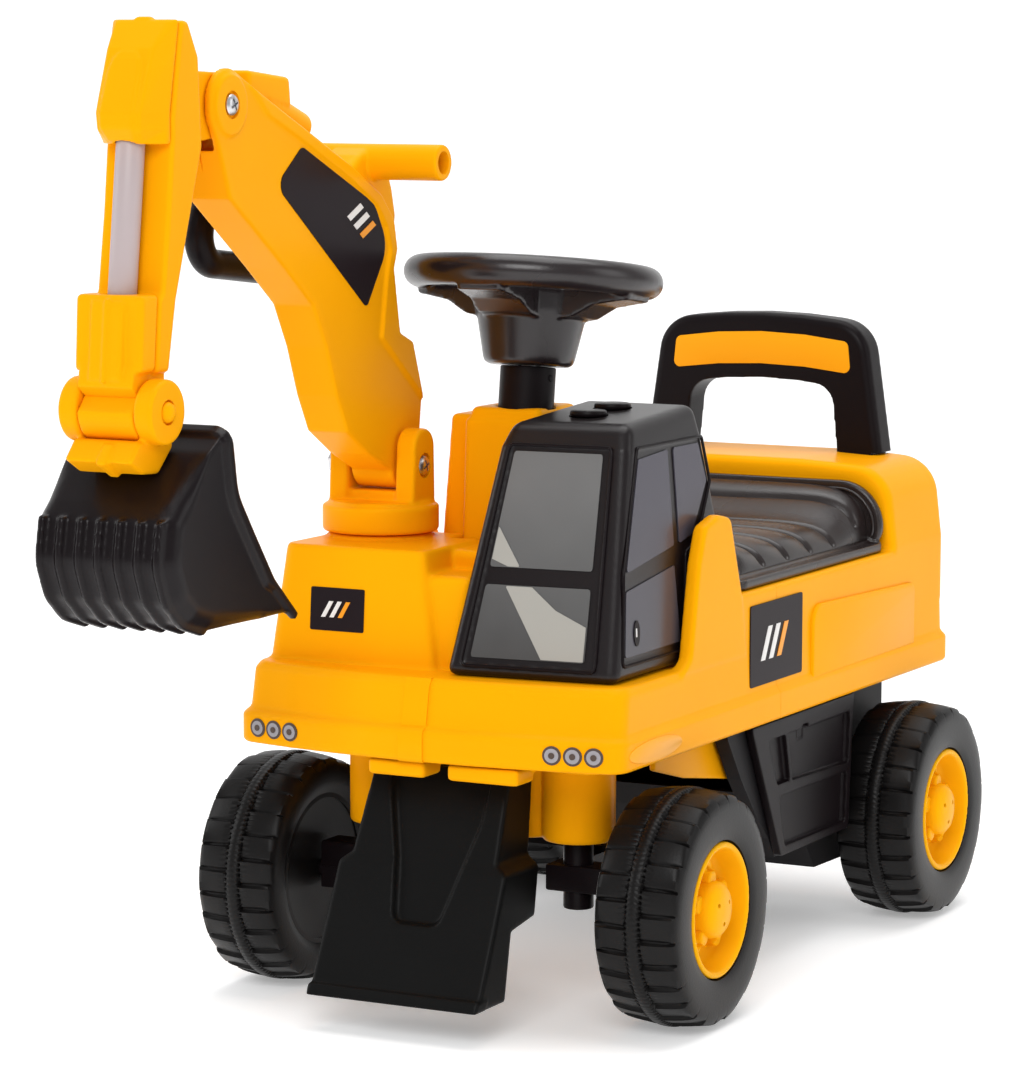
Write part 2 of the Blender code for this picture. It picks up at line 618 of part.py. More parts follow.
def steering():
    tilt = Matrix.Rotation(-STEER_TILT, 3, "X")
    centre = Vector(WHEEL_CENTRE)
    along = tilt @ Vector((0, 0, 1))
    pivot = WHEEL_CENTRE
    ring = [centre + tilt @ Vector((STEER_RING * math.cos(a), STEER_RING * math.sin(a), 0))
            for a in (2 * math.pi * i / 36 for i in range(36))]
    wheel = hoop("steering_wheel", ring, STEER_TUBE, "black", 10, pivot)
    hub = [(-48.0, 4.5), (-48.0, 25.0), (-20.0, 31.0), (-6.0, 31.0), (2.0, 24.0), (2.0, 4.5)]
    add(wheel, turned("hub", hub, centre, along, "black", 24, pivot))
    for angle in (0.0, 180.0, 270.0):
        turn = Matrix.Rotation(math.radians(angle), 3, "Z")
        corners = []
        for d, drop_low, drop_high in ((20.0, -17.0, -3.0), (STEER_RING - 3, -8.0, 0.0)):
            ring = [(d, -14, drop_low), (d, 14, drop_low), (d, 14, drop_high), (d, -14, drop_high)]
            corners.append([centre + tilt @ (turn @ Vector(p)) for p in ring])
        add(wheel, loft("spoke", corners, pivot=pivot))
    column = [(-86.0, 4.5), (-86.0, 15.6), (-48.0 - GAP, 15.6), (-48.0 - GAP, 4.5)]
    turned("steering_column", column, centre, along, "black", 24, pivot)
    rod("steering_shaft", centre + along * -310.0, centre + along * 1.0, 4.0, "steel", 12, pivot)
    base = Vector(steer_point(103))
    crank = turned("steering_crank", [(-4.0, 4.5), (-4.0, 9.0), (4.0, 9.0), (4.0, 4.5)], base, along, "black", 20, pivot)
    arm = box("crank_arm", (-5, base.y + 6, 99.5), (5, base.y + CRANK + 4.5, 106), pivot=pivot)
    add(crank, arm)
    pin_y = steer_point(91)[1] + CRANK
    return add(crank, rod("crank_pin", (0, pin_y, 87.6), (0, pin_y, 104), 3.0, sides=12, pivot=pivot))


# ---------------------------------------------------------------- digging arm

def pivot_at(point):
    return (ARM_X, point[0], point[1])


def turret():
    pivot = (ARM_X, TURRET_Y, TURRET_TOP)
    ring = rod("turret", (ARM_X, TURRET_Y, TOWER_TOP + 3 + GAP), (ARM_X, TURRET_Y, TURRET_TOP), TURRET_RADIUS,
               "yellow", 32, pivot)
    ear = rounded([(FOOT[0] - 14, TURRET_TOP - 3), (FOOT[0] - 11, 319), (FOOT[0] + 11, 319),
                   (FOOT[0] + 12, TURRET_TOP - 3)], [0, 9, 9, 0], 4)
    for low, high in ((15.2, 27.5), (-27.5, -15.2)):
        add(ring, prism("ear", "X", ear, ARM_X + low, ARM_X + high, pivot=pivot))
    add(ring, rod("spigot", (ARM_X, TURRET_Y, 245), (ARM_X, TURRET_Y, 265), 14.0, sides=24, pivot=pivot))
    cut(ring, rod("bore", (ARM_X - 40, *FOOT), (ARM_X + 40, *FOOT), BOLT_RADIUS + GAP, sides=16, pivot=pivot))
    cut(ring, rod("spigot_hollow", (ARM_X, TURRET_Y, 240), (ARM_X, TURRET_Y, 270), 10.0, sides=24, pivot=pivot))
    top = TOWER_TOP - SKIN - GAP
    turned("swing_retainer", [(0.0, 14.0 + GAP), (0.0, 22.0), (3.0, 22.0), (3.0, 14.0 + GAP)],
           (ARM_X, TURRET_Y, top - 3.2), (0, 0, 1), "black", 24, pivot)


def boom_outline():
    """Side view of the boom as (y, z), counter-clockwise from the elbow."""
    elbow = circle(ELBOW, 19.0, 9, math.radians(75), math.radians(140))
    front = [(-349, 484), (-337, 454), (-280, 415), (-251, 394), (-237, 370), (-226, 343), (-214, 322), (-190, 308)]
    foot = circle(FOOT, 13.5, 7, math.radians(190), math.radians(140))
    back = [(-131, 318), (-129, 334), (-142, 368), (-157, 374), (-164, 410), (-160, 421), (-164, 438),
            (-178, 452), (-210, 468), (-265, 491)]
    return elbow + front + foot + back


def boom():
    pivot = pivot_at(FOOT)
    wall = 2.6
    inside = [(-300, 462), (-272, 419), (-247, 396), (-232, 370), (-221, 343), (-205, 322), (-180, 318), (-140, 326),
              (-148, 362), (-163, 370), (-169, 410), (-165, 421), (-169, 435), (-182, 447), (-212, 462), (-270, 484)]
    for name, side in (("boom_left_half", 1), ("boom_right_half", -1)):
        near = ARM_X + side * GAP / 2
        far = ARM_X + side * BOOM_HALF
        half = prism(name, "X", boom_outline(), *sorted((near, far)), pivot=pivot)
        inner = sorted((near - side * 2, far - side * wall))
        cut(half, prism("hollow", "X", inside, *inner, pivot=pivot))
        slot = sorted((near - side * 2, ARM_X + side * 9.3))
        cut(half, prism("fork", "X", circle(ELBOW, 25.0, 20), *slot, pivot=pivot))
        for point in (FOOT, ELBOW):
            cut(half, rod("bore", (ARM_X - 40, *point), (ARM_X + 40, *point), BOLT_RADIUS + GAP, sides=16,
                          pivot=pivot))
    bar = rod("t_bar", (ARM_X - 55, -181, 470), (ARM_X + 55, -181, 470), 10.0, "yellow", 20, pivot)
    web = [(-203, 465.2), (-178, 452.9), (-164.2, 439.2), (-158, 438), (-156, 450), (-163, 468), (-178, 479),
           (-196, 473)]
    add(bar, prism("web", "X", web, ARM_X - 12, ARM_X + 12, pivot=pivot))
    for side in (-1, 1):
        cut(bar, rod("end_hole", (ARM_X + side * 25, -181, 470), (ARM_X + side * 60, -181, 470), 6.3, sides=16,
                     pivot=pivot))


def bolt(name, point, left, right, pivot):
    """A bolt along X with its head on the left side of the toy."""
    shank = rod(name, (left, *point), (right, *point), BOLT_RADIUS, "steel", 16, pivot)
    return add(shank, rod("head", (right - 0.2, *point), (right + 3.0, *point), 6.0, sides=16, pivot=pivot))


def nut(name, point, low, pivot):
    body = rod(name, (low, *point), (low + 4.0, *point), 7.0, "steel", 6, pivot)
    return cut(body, rod("bore", (low - 5, *point), (low + 9, *point), BOLT_RADIUS + GAP, sides=16, pivot=pivot))


def arm_bolts():
    bolt("boom_foot_bolt", FOOT, ARM_X - 33.0, ARM_X + 27.5 + GAP, pivot_at(FOOT))
    nut("boom_foot_nut", FOOT, ARM_X - 27.5 - 4.0 - GAP, pivot_at(FOOT))
    bolt("elbow_bolt", ELBOW, ARM_X - 37.0, ARM_X + BOOM_HALF + GAP, pivot_at(ELBOW))
    nut("elbow_nut", ELBOW, ARM_X - 29.0 - 4.0 - GAP, pivot_at(ELBOW))
    wrist = pivot_at(WRIST)
    bolt("bucket_pin", WRIST, ARM_X - 28.5, ARM_X + 28.0 + GAP, wrist)


def stick():
    pivot = pivot_at(ELBOW)
    side_view = [(-395, 546), (-388, 546), (-378, 528), (-375, 482), (-401, 405), (-408.5, 369), (-421, 369),
                 (-417.6, 406), (-414, 410), (-408, 450), (-404, 487), (-404, 497)]
    body = prism("stick_body", "X", side_view, ARM_X - STICK_HALF, ARM_X + STICK_HALF, pivot=pivot)
    cut(body, prism("stick_hollow", "X", [(-370, 528), (-370, 405), (-396, 405), (-406, 415), (-401, 460),
                                          (-399, 498), (-391, 528)], ARM_X - 17, ARM_X + 17, pivot=pivot))
    lug = circle(ELBOW, 17.0, 9, math.radians(-100), math.radians(200)) + [(-394, 522), (-402, 480)]
    add(body, prism("lug", "X", lug, ARM_X - 8.7, ARM_X + 8.7, pivot=pivot))
    neck = circle(WRIST, 14.0, 13, math.radians(180), math.radians(180)) + [(-410, 376), (-419, 376), (-421.3, 369.6)]
    add(body, prism("neck", "X", neck, ARM_X - 16.6, ARM_X + 16.6, pivot=pivot))
    for point in (ELBOW, WRIST):
        cut(body, rod("bore", (ARM_X - 40, *point), (ARM_X + 40, *point), BOLT_RADIUS + GAP, sides=16, pivot=pivot))
    top, bottom = (ARM_X, -411.4, 491), (ARM_X, -422.0, 402)
    cut(body, rod("rod_groove", top, bottom, 7.5 + GAP, sides=16, pivot=pivot))
    rod("piston_rod", top, bottom, 7.5, "rod", 16, pivot)
    cover = [(-395.6, 545), (-404.4, 498), (-405.1, 481), (-423, 481), (-425, 498), (-412, 532), (-401, 547)]
    cap = prism("rod_cover", "X", cover, ARM_X - 14, ARM_X + 14, pivot=pivot)
    cut(cap, rod("bore", (ARM_X, -411.4, 491.5), (ARM_X, -414.4, 466), 7.5 + GAP, sides=16, pivot=pivot))
    housing = [(-421.4, 370), (-418.2, 406), (-434, 406), (-436, 370)]
    case = prism("rod_housing", "X", housing, ARM_X - STICK_HALF, ARM_X + STICK_HALF, pivot=pivot)
    cut(case, rod("bore", (ARM_X, -416, 452), (ARM_X, -422.1, 401), 7.5 + GAP, sides=16, pivot=pivot))


def grip_lever():
    pivot = pivot_at(ELBOW)
    x = ARM_X - 35.0
    tilt = math.radians(-6)
    corners = [(-40, -16), (40, -16), (40, 16), (-40, 16)]
    loop = []
    for a, b in rounded(corners, 14, 4):
        loop.append((x, -251 + a * math.cos(tilt) - b * math.sin(tilt), 430 + a * math.sin(tilt) + b * math.cos(tilt)))
    lever = hoop("grip_lever", loop, 8.0, "black", 8, pivot)
    hub = circle(ELBOW, 13.0, 7, math.radians(50), math.radians(180))
    arm = hub + [(-292, 447), (-262, 439), (-262, 452)]
    add(lever, prism("lever_arm", "X", arm, x - 4.0, ARM_X - 22.0, pivot=pivot))
    cut(lever, rod("bore", (x - 20, *ELBOW), (x + 40, *ELBOW), BOLT_RADIUS + GAP, sides=16, pivot=pivot))
    return cut(lever, rod("nut_way", (x - 20, *ELBOW), (ARM_X - 29.0, *ELBOW), 8.0, sides=16, pivot=pivot))


def bucket():
    pivot = pivot_at(WRIST)
    outline = [(-388, 340), (-406, 329), (-434, 304), (-442, 296), (-446, 274), (-438, 255), (-424, 243), (-404, 237),
               (-350, 236), (-322, 238), (-343, 262), (-367, 297), (-381, 331)]
    inside = [(-340, 360), (-386, 335.5), (-405, 325), (-432, 301), (-439, 294), (-443, 274), (-435.5, 257),
              (-422.5, 246), (-404, 240), (-350, 239), (-300, 241)]
    shell = prism("bucket", "X", outline, ARM_X - BUCKET_HALF, ARM_X + BUCKET_HALF, "black", pivot)
    cut(shell, prism("scoop", "X", inside, ARM_X - BUCKET_HALF + SKIN, ARM_X + BUCKET_HALF - SKIN, pivot=pivot))
    tongue = [(-437, 336), (-446, 326), (-433, 319), (-419.4, 318.2), (-405.5, 331), (-407, 335.4)]
    bracket = prism("bucket_bracket", "X", tongue, ARM_X - STICK_HALF, ARM_X + STICK_HALF, pivot=pivot)
    for low, high in ((17.0, 28.0), (-28.0, -17.0)):
        add(bracket, rod("disc", (ARM_X + low, *WRIST), (ARM_X + high, *WRIST), 16.7, sides=28, pivot=pivot))
    cut(bracket, rod("barrel_way", (ARM_X - 16.99, *WRIST), (ARM_X + 16.99, *WRIST), 14.6, sides=28, pivot=pivot))
    return cut(bracket, rod("bore", (ARM_X - 40, *WRIST), (ARM_X + 40, *WRIST), BOLT_RADIUS + GAP, sides=16,
                            pivot=pivot))


# ---------------------------------------------------------------- assembly

def main():
    clear_scene()
    split_body()
    front_carrier()
    front_blade()
    chassis_tub()
    side_panel("side_panel_left", 1)
    side_panel("side_panel_right", -1)
    rear_carrier()
    storage_bin()
    battery_box()
    console()
    cab_shell()
    cab_panes()
    cab_buttons()
    seat()
    rear_handle()
    for label, side, y in (("front_left", 1, FRONT_AXLE_Y), ("front_right", -1, FRONT_AXLE_Y),
                           ("rear_left", 1, REAR_AXLE_Y), ("rear_right", -1, REAR_AXLE_Y)):
        road_wheel(label, side, y)
    rear_axle()
    knuckle("knuckle_left", 1)
    knuckle("knuckle_right", -1)
    tie_rod()
    steering()
    turret()
    boom()
    arm_bolts()
    stick()
    grip_lever()
    bucket()


main()
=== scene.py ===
"""Looks of the ride-on toy digger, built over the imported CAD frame.

Lengths below are in the layout of part.py: millimetres, zero on the ground midway between the axles,
-Y the direction of travel, +X the toy's left. FRAME_SHIFT moves them along Y into the row frame.
"""

import math

import bmesh
import bpy
from mathutils import Matrix, Vector


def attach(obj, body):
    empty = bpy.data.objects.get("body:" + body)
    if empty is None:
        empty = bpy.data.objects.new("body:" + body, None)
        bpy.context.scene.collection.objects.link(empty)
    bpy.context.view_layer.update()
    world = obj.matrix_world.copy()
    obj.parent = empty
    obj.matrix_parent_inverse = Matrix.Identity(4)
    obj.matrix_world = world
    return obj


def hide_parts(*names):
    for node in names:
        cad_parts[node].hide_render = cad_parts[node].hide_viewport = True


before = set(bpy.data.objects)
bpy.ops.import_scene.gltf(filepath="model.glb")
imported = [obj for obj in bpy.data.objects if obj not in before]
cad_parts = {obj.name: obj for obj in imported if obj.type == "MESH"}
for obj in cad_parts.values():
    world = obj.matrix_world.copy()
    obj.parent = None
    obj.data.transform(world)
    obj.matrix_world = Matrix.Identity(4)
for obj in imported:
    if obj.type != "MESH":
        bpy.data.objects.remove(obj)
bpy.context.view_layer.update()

MM = 0.001
FRAME_SHIFT = 99.5
ARM_X = -72.0
FOOT = (-152.0, 299.0)
ELBOW = (-338.0, 503.0)
WRIST = (-423.0, 350.0)
TURRET_Y = -154.0
T_BAR = (-181.0, 470.0)
PIN_HOLE = 4.3
WHEEL_RADIUS = 66.0
TRACK = 249.0
AXLE_Y = 168.0
STEER_TILT = math.radians(7.0)
STEER_CENTRE = Vector((0.0, -105.37, 404.0))
SEAM = -23.0
SIDES = ((1, "left"), (-1, "right"))
BUTTONS = {"horn_button": (62.0, -160.0), "sound_button": (62.0, -130.0)}


# ---------------------------------------------------------------- outlines

def rounded(corners, radii, steps=5):
    """A closed outline with its corners rounded; radii is one number or one for each corner."""
    count = len(corners)
    if not isinstance(radii, (list, tuple)):
        radii = [radii] * count
    points = []
    for i, radius in enumerate(radii):
        here = Vector(corners[i])
        if radius <= 0:
            points.append(tuple(here))
            continue
        to_last = (Vector(corners[i - 1]) - here).normalized()
        to_next = (Vector(corners[(i + 1) % count]) - here).normalized()
        half = to_last.angle(to_next) / 2
        reach = radius / math.tan(half)
        centre = here + (to_last + to_next).normalized() * radius / math.sin(half)
        start = here + to_last * reach - centre
        end = here + to_next * reach - centre
        for step in range(steps + 1):
            arm = start.lerp(end, step / steps).normalized() * radius
            points.append(tuple(centre + arm))
    return points


def arc(centre, radius, count, start, turn):
    """Points on an arc; angles in degrees."""
    return [(centre[0] + radius * math.cos(math.radians(start + turn * i / (count - 1))),
             centre[1] + radius * math.sin(math.radians(start + turn * i / (count - 1))))
            for i in range(count)]


def plan(half, front, rear, bow, radius, steps=8):
    """Plan outline of the body, its front edge bowed forwards."""
    corners = [(-half, rear), (-half, front + bow)]
    corners += [(half * t, front + bow * t * t) for t in (-0.75, -0.5, -0.25, 0.0, 0.25, 0.5, 0.75)]
    corners += [(half, front + bow), (half, rear)]
    return rounded(corners, [radius, radius] + [0] * 7 + [radius, radius], steps)


def inset(outline, distance):
    """Moves each side of a counter-clockwise outline inwards."""
    count = len(outline)
    moved = []
    for i in range(count):
        before, here, after = (Vector(outline[k]) for k in (i - 1, i, (i + 1) % count))
        first = (here - before).normalized()
        second = (after - here).normalized()
        normal = Vector((-first.y - second.y, first.x + second.x)).normalized()
        share = max(0.5, normal.dot(Vector((-first.y, first.x))))
        moved.append(tuple(here + normal * distance / share))
    return moved


def ease(value, low, high):
    """0 below low, 1 above high and a smooth step between them."""
    t = min(1.0, max(0.0, (value - low) / (high - low)))
    return t * t * (3 - 2 * t)


def turns(count):
    """Angles spread evenly over a full turn."""
    return [2 * math.pi * i / count for i in range(count)]


# ---------------------------------------------------------------- solids, as bmesh in millimetres

def loft(rings, closed=False):
    """A surface through rings of points, capped at both ends or, when closed, led round to its start."""
    bm = bmesh.new()
    rows = [[bm.verts.new(point) for point in ring] for ring in rings]
    count = len(rows[0])
    for low, high in zip(rows, rows[1:] + (rows[:1] if closed else [])):
        for i in range(count):
            bm.faces.new((low[i], low[(i + 1) % count], high[(i + 1) % count], high[i]))
    if not closed:
        bm.faces.new(reversed(rows[0]))
        bm.faces.new(rows[-1])
    return bm


def prism(axis, outline, low, high):
    """An outline pulled along an axis: (y, z) along X, (x, z) along Y or (x, y) along Z."""
    place = {
        "X": lambda a, b, t: (t, a, b),
        "Y": lambda a, b, t: (a, t, b),
        "Z": lambda a, b, t: (a, b, t),
    }[axis]
    return loft([[place(a, b, level) for a, b in outline] for level in (low, high)])


def block(x, y, z):
    """A box between two values of each axis."""
    return prism("Z", [(x[0], y[0]), (x[1], y[0]), (x[1], y[1]), (x[0], y[1])], z[0], z[1])


def axes_round(along):
    along = Vector(along).normalized()
    side = Vector((0, 1, 0)) - along * along.y
    if side.length < 0.1:
        side = Vector((1, 0, 0)) - along * along.x
    side.normalize()
    return along, side, along.cross(side)


def turned(profile, origin, direction, sides=64):
    """A closed (distance, radius) profile turned round a line; radius 0 at both ends closes it."""
    along, side, up = axes_round(direction)
    spokes = [side * math.cos(a) + up * math.sin(a) for a in turns(sides)]
    return loft([[Vector(origin) + along * d + spoke * r for d, r in profile] for spoke in spokes], True)


def bar(start, end, radius, sides=48, ease_ends=0.0, end_radius=None):
    """A round bar; ease_ends softens its rims and end_radius lets it taper."""
    start, end = Vector(start), Vector(end)
    length = (end - start).length
    last = radius if end_radius is None else end_radius
    e = ease_ends
    profile = [(0, radius), (length, last)]
    if e:
        profile = [(0, radius - e), (e * 0.3, radius - e * 0.3), (e, radius), (length - e, last),
                   (length - e * 0.3, last - e * 0.3), (length, last - e)]
    along, side, up = axes_round(end - start)
    return loft([[start + along * d + (side * math.cos(a) + up * math.sin(a)) * r for a in turns(sides)]
                 for d, r in profile])


def arm_pin(point, low, high, radius, *rest):
    """A bar across the digging arm through a (y, z) point."""
    return bar((ARM_X + low, *point), (ARM_X + high, *point), radius, *rest)


def turret_pin(low, high, radius, *rest):
    """A bar up the axis the digging arm swings round."""
    return bar((ARM_X, TURRET_Y, low), (ARM_X, TURRET_Y, high), radius, *rest)


def arm_block(half, y, z):
    """A box across the digging arm."""
    return block((ARM_X - half, ARM_X + half), y, z)


def arm_slice(outline, half):
    """A (y, z) outline pulled across the digging arm."""
    return prism("X", outline, ARM_X - half, ARM_X + half)


def hoop(path, radius, sides=16):
    """A closed tube along a loop of points."""
    path = [Vector(point) for point in path]
    centre = sum(path, Vector()) / len(path)
    rings = []
    for i, point in enumerate(path):
        ahead = (path[(i + 1) % len(path)] - path[i - 1]).normalized()
        normal = ahead.cross(point - centre).normalized()
        out = normal.cross(ahead).normalized()
        rings.append([point + (out * math.cos(a) + normal * math.sin(a)) * radius for a in turns(sides)])
    return loft(rings, True)


def headings(path):
    """Each point of an open path with the direction of the path there."""
    last = len(path) - 1
    return [(point, (path[min(i + 1, last)] - path[max(i - 1, 0)]).normalized())
            for i, point in enumerate(path)]


def patch(outline, surface, low, high):
    """A thin piece between two heights off a surface, which maps (a, b, height) to a point."""
    return loft([[surface(a, b, height) for a, b in outline] for height in (low, high)])


def soft(bm, width, segments=3, angle=28):
    """Rounds the sharp edges of a solid."""
    bmesh.ops.remove_doubles(bm, verts=bm.verts, dist=1e-4)
    bmesh.ops.recalc_face_normals(bm, faces=bm.faces)
    limit = math.radians(angle)
    edges = [e for e in bm.edges if len(e.link_faces) == 2 and e.calc_face_angle(0) > limit]
    bmesh.ops.bevel(bm, geom=edges, offset=width, segments=segments, profile=0.5, affect="EDGES",
                    clamp_overlap=True)
    return bm


def span(side, near, far):
    """The range of X between two distances from the middle, on one side."""
    return sorted((side * near, side * far))


# ---------------------------------------------------------------- objects

def to_object(name, bm):
    bmesh.ops.remove_doubles(bm, verts=bm.verts, dist=1e-4)
    bmesh.ops.recalc_face_normals(bm, faces=bm.faces)
    bmesh.ops.translate(bm, vec=(0, FRAME_SHIFT, 0), verts=bm.verts)
    bmesh.ops.scale(bm, vec=(MM, MM, MM), verts=bm.verts)
    mesh = bpy.data.meshes.new(name)
    bm.to_mesh(mesh)
    bm.free()
    obj = bpy.data.objects.new(name, mesh)
    bpy.context.scene.collection.objects.link(obj)
    return obj


def apply_modifiers(obj):
    bpy.context.view_layer.update()
    graph = bpy.context.evaluated_depsgraph_get()
    result = bpy.data.meshes.new_from_object(obj.evaluated_get(graph))
    obj.modifiers.clear()
    obj.data = result


def combine(obj, bm, operation):
    tool = to_object("tool", bm)
    modifier = obj.modifiers.new("combine", "BOOLEAN")
    modifier.operation = operation
    modifier.solver = "MANIFOLD"
    modifier.object = tool
    apply_modifiers(obj)
    bpy.data.objects.remove(tool, do_unlink=True)


def softened(obj, voxel, rounds):
    """Rounds the edges of a closed mesh by a voxel remesh and some rounds of smoothing."""
    remesh = obj.modifiers.new("remesh", "REMESH")
    remesh.mode = "VOXEL"
    remesh.voxel_size = voxel * MM
    smooth = obj.modifiers.new("smooth", "SMOOTH")
    smooth.factor = 0.5
    smooth.iterations = rounds
    apply_modifiers(obj)


def built(name, solids, cuts=(), voxel=0.0, rounds=2, late=()):
    """One closed mesh: the solids joined, the cuts taken away, the edges softened by a voxel remesh, and
    the late cuts taken away sharp."""
    obj = to_object(name, solids[0])
    for bm in solids[1:]:
        combine(obj, bm, "UNION")
    for bm in cuts:
        combine(obj, bm, "DIFFERENCE")
    if voxel:
        softened(obj, voxel, rounds)
    for bm in late:
        combine(obj, bm, "DIFFERENCE")
    return obj


def piece(name, bm, *rest, **more):
    """A solid made into an object and handed over."""
    return finish(to_object(name, bm), *rest, **more)


def finish(obj, body, material, nodes=(), angle=38, slot=None):
    """Hands an object over as a piece of the toy."""
    obj.data.shade_smooth()
    obj.data.set_sharp_from_angle(angle=math.radians(angle))
    obj.data.materials.clear()
    obj.data.materials.append(material)
    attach(obj, body)
    if nodes:
        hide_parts(*nodes)
    return obj


# ---------------------------------------------------------------- materials

WHITE = (1.0, 1.0, 1.0)
AMBER = (1.0, 0.72, 0.12)


def new_material(name, colour, roughness, metallic=0.0):
    made = bpy.data.materials.new(name)
    made.use_nodes = True
    shader = made.node_tree.nodes["Principled BSDF"]
    shader.inputs["Base Color"].default_value = (*colour, 1.0)
    shader.inputs["Roughness"].default_value = roughness
    shader.inputs["Metallic"].default_value = metallic
    return made, made.node_tree, shader


def node(tree, kind, **values):
    """A shader node with some inputs set; an underscore stands for a space in an input's name."""
    made = tree.nodes.new("ShaderNode" + kind)
    for socket, value in values.items():
        made.inputs[socket.replace("_", " ")].default_value = value
    return made


def noise(tree, scale, detail=2.0):
    made = node(tree, "TexNoise", Scale=scale, Detail=detail)
    tree.links.new(node(tree, "TexCoord").outputs["Object"], made.inputs["Vector"])
    return made.outputs["Fac"]


def ranged(tree, value, **limits):
    """A value mapped from one range to another."""
    made = node(tree, "MapRange", **limits)
    tree.links.new(value, made.inputs["Value"])
    return made.outputs["Result"]


def blend(tree, share, first, second):
    """A colour between two others."""
    made = tree.nodes.new("ShaderNodeMix")
    made.data_type = "RGBA"
    made.inputs["A"].default_value = (*first, 1.0)
    made.inputs["B"].default_value = (*second, 1.0)
    tree.links.new(share, made.inputs["Factor"])
    return made.outputs["Result"]


def plastic(name, colour, deep, roughness, spread=0.03, grain=400.0, bump=0.02, level=0.3, sheen=WHITE):
    """Moulded plastic: a slow change of colour, patches of gloss and a fine grain."""
    made, tree, shader = new_material(name, colour, roughness)
    slow = noise(tree, 14.0, 3.0)
    share = ranged(tree, slow, From_Min=0.35, From_Max=0.75, To_Max=0.25)
    gloss = ranged(tree, slow, To_Min=roughness - spread, To_Max=roughness + spread)
    dents = node(tree, "Bump", Strength=bump, Distance=0.0004)
    tree.links.new(noise(tree, grain), dents.inputs["Height"])
    tree.links.new(blend(tree, share, colour, deep), shader.inputs["Base Color"])
    tree.links.new(gloss, shader.inputs["Roughness"])
    tree.links.new(dents.outputs["Normal"], shader.inputs["Normal"])
    shader.inputs["Specular IOR Level"].default_value = level
    shader.inputs["Specular Tint"].default_value = (*sheen, 1.0)
    return made


def steel(name, colour, roughness):
    """Plated steel with fine turning marks."""
    made, tree, shader = new_material(name, colour, roughness, 1.0)
    rough = ranged(tree, noise(tree, 1200.0), To_Min=roughness - 0.08, To_Max=roughness + 0.12)
    tree.links.new(rough, shader.inputs["Roughness"])
    return made


def window_print(name, colour, edge):
    """A printed grey window that gets darker downwards."""
    made, tree, shader = new_material(name, colour, 0.22)
    split = node(tree, "SeparateXYZ")
    tree.links.new(node(tree, "TexCoord").outputs["Object"], split.inputs["Vector"])
    wave = node(tree, "Math")
    wave.operation = "MULTIPLY_ADD"
    wave.inputs[1].default_value = 0.35
    tree.links.new(noise(tree, 22.0), wave.inputs[0])
    tree.links.new(ranged(tree, split.outputs["Z"], From_Min=0.19, From_Max=0.33), wave.inputs[2])
    tree.links.new(blend(tree, wave.outputs["Value"], edge, colour), shader.inputs["Base Color"])
    shader.inputs["Specular IOR Level"].default_value = 0.3
    return made


YELLOW = plastic("yellow_plastic", (0.95, 0.39, 0.002), (0.92, 0.335, 0.0015), 0.34,
                 spread=0.05, grain=700.0, bump=0.05, level=0.06, sheen=AMBER)
RIM_YELLOW = plastic("rim_yellow", (0.9, 0.43, 0.003), (0.87, 0.38, 0.002), 0.4,
                     spread=0.05, grain=600.0, bump=0.06, level=0.12, sheen=AMBER)
BLACK = plastic("black_plastic", (0.0065, 0.0042, 0.005), (0.009, 0.0065, 0.0075), 0.36,
                spread=0.06, grain=1500.0, bump=0.16, level=0.1)
CAB_BLACK = plastic("cab_black", (0.0065, 0.004, 0.0048), (0.009, 0.0062, 0.0072), 0.33,
                    spread=0.05, grain=1500.0, bump=0.14, level=0.32)
BUCKET_BLACK = plastic("bucket_black", (0.0055, 0.0032, 0.0041), (0.008, 0.0052, 0.0064),
                       0.3, spread=0.05, grain=1500.0, bump=0.14, level=0.2)
GLOSS_BLACK = plastic("gloss_black", (0.012, 0.008, 0.009), (0.018, 0.012, 0.013), 0.27,
                      spread=0.04, grain=1400.0, bump=0.12, level=0.55)
BLADE_BLACK = plastic("blade_black", (0.004, 0.004, 0.004), (0.006, 0.006, 0.006), 0.42,
                      spread=0.05, grain=1300.0, bump=0.14, level=0.1)
TYRE = plastic("tyre_plastic", (0.005, 0.0045, 0.0045), (0.008, 0.007, 0.007), 0.36,
               spread=0.06, grain=1100.0, bump=0.2, level=0.17)
SEAT = plastic("seat_plastic", (0.014, 0.0085, 0.008), (0.021, 0.0135, 0.012), 0.27,
               spread=0.04, grain=1700.0, bump=0.18, level=0.55)
INNER = plastic("inner_black", (0.008, 0.007, 0.008), (0.012, 0.011, 0.011), 0.55,
                spread=0.05, grain=900.0, bump=0.1, level=0.15)
ORANGE = plastic("orange_inlay", (0.96, 0.39, 0.01), (0.94, 0.35, 0.008), 0.38,
                 spread=0.04, grain=500.0, bump=0.03, level=0.2, sheen=AMBER)
ROD = plastic("rod_grey", (0.45, 0.38, 0.385), (0.36, 0.3, 0.31), 0.34, spread=0.05, bump=0.03)
STREAK = plastic("window_streak", (0.36, 0.35, 0.32), (0.3, 0.3, 0.27), 0.3, grain=300.0)
LABEL = plastic("label_black", (0.016, 0.011, 0.013), (0.022, 0.017, 0.019), 0.3,
                level=0.06)
LABEL_WHITE = plastic("label_white", (0.78, 0.76, 0.74), (0.7, 0.68, 0.66), 0.32)
LABEL_ORANGE = plastic("label_orange", (0.9, 0.33, 0.01), (0.86, 0.3, 0.01), 0.32)
LAMP_DARK = plastic("lamp_dark", (0.07, 0.045, 0.035), (0.1, 0.07, 0.05), 0.3)
LAMP_GREY = plastic("lamp_grey", (0.33, 0.31, 0.33), (0.2, 0.19, 0.2), 0.22, grain=300.0)
REFLECTOR = plastic("reflector", (0.93, 0.41, 0.035), (0.9, 0.38, 0.03), 0.25,
                    spread=0.02, grain=200.0, level=0.1, sheen=AMBER)
STEEL = steel("zinc_steel", (0.62, 0.62, 0.64), 0.3)
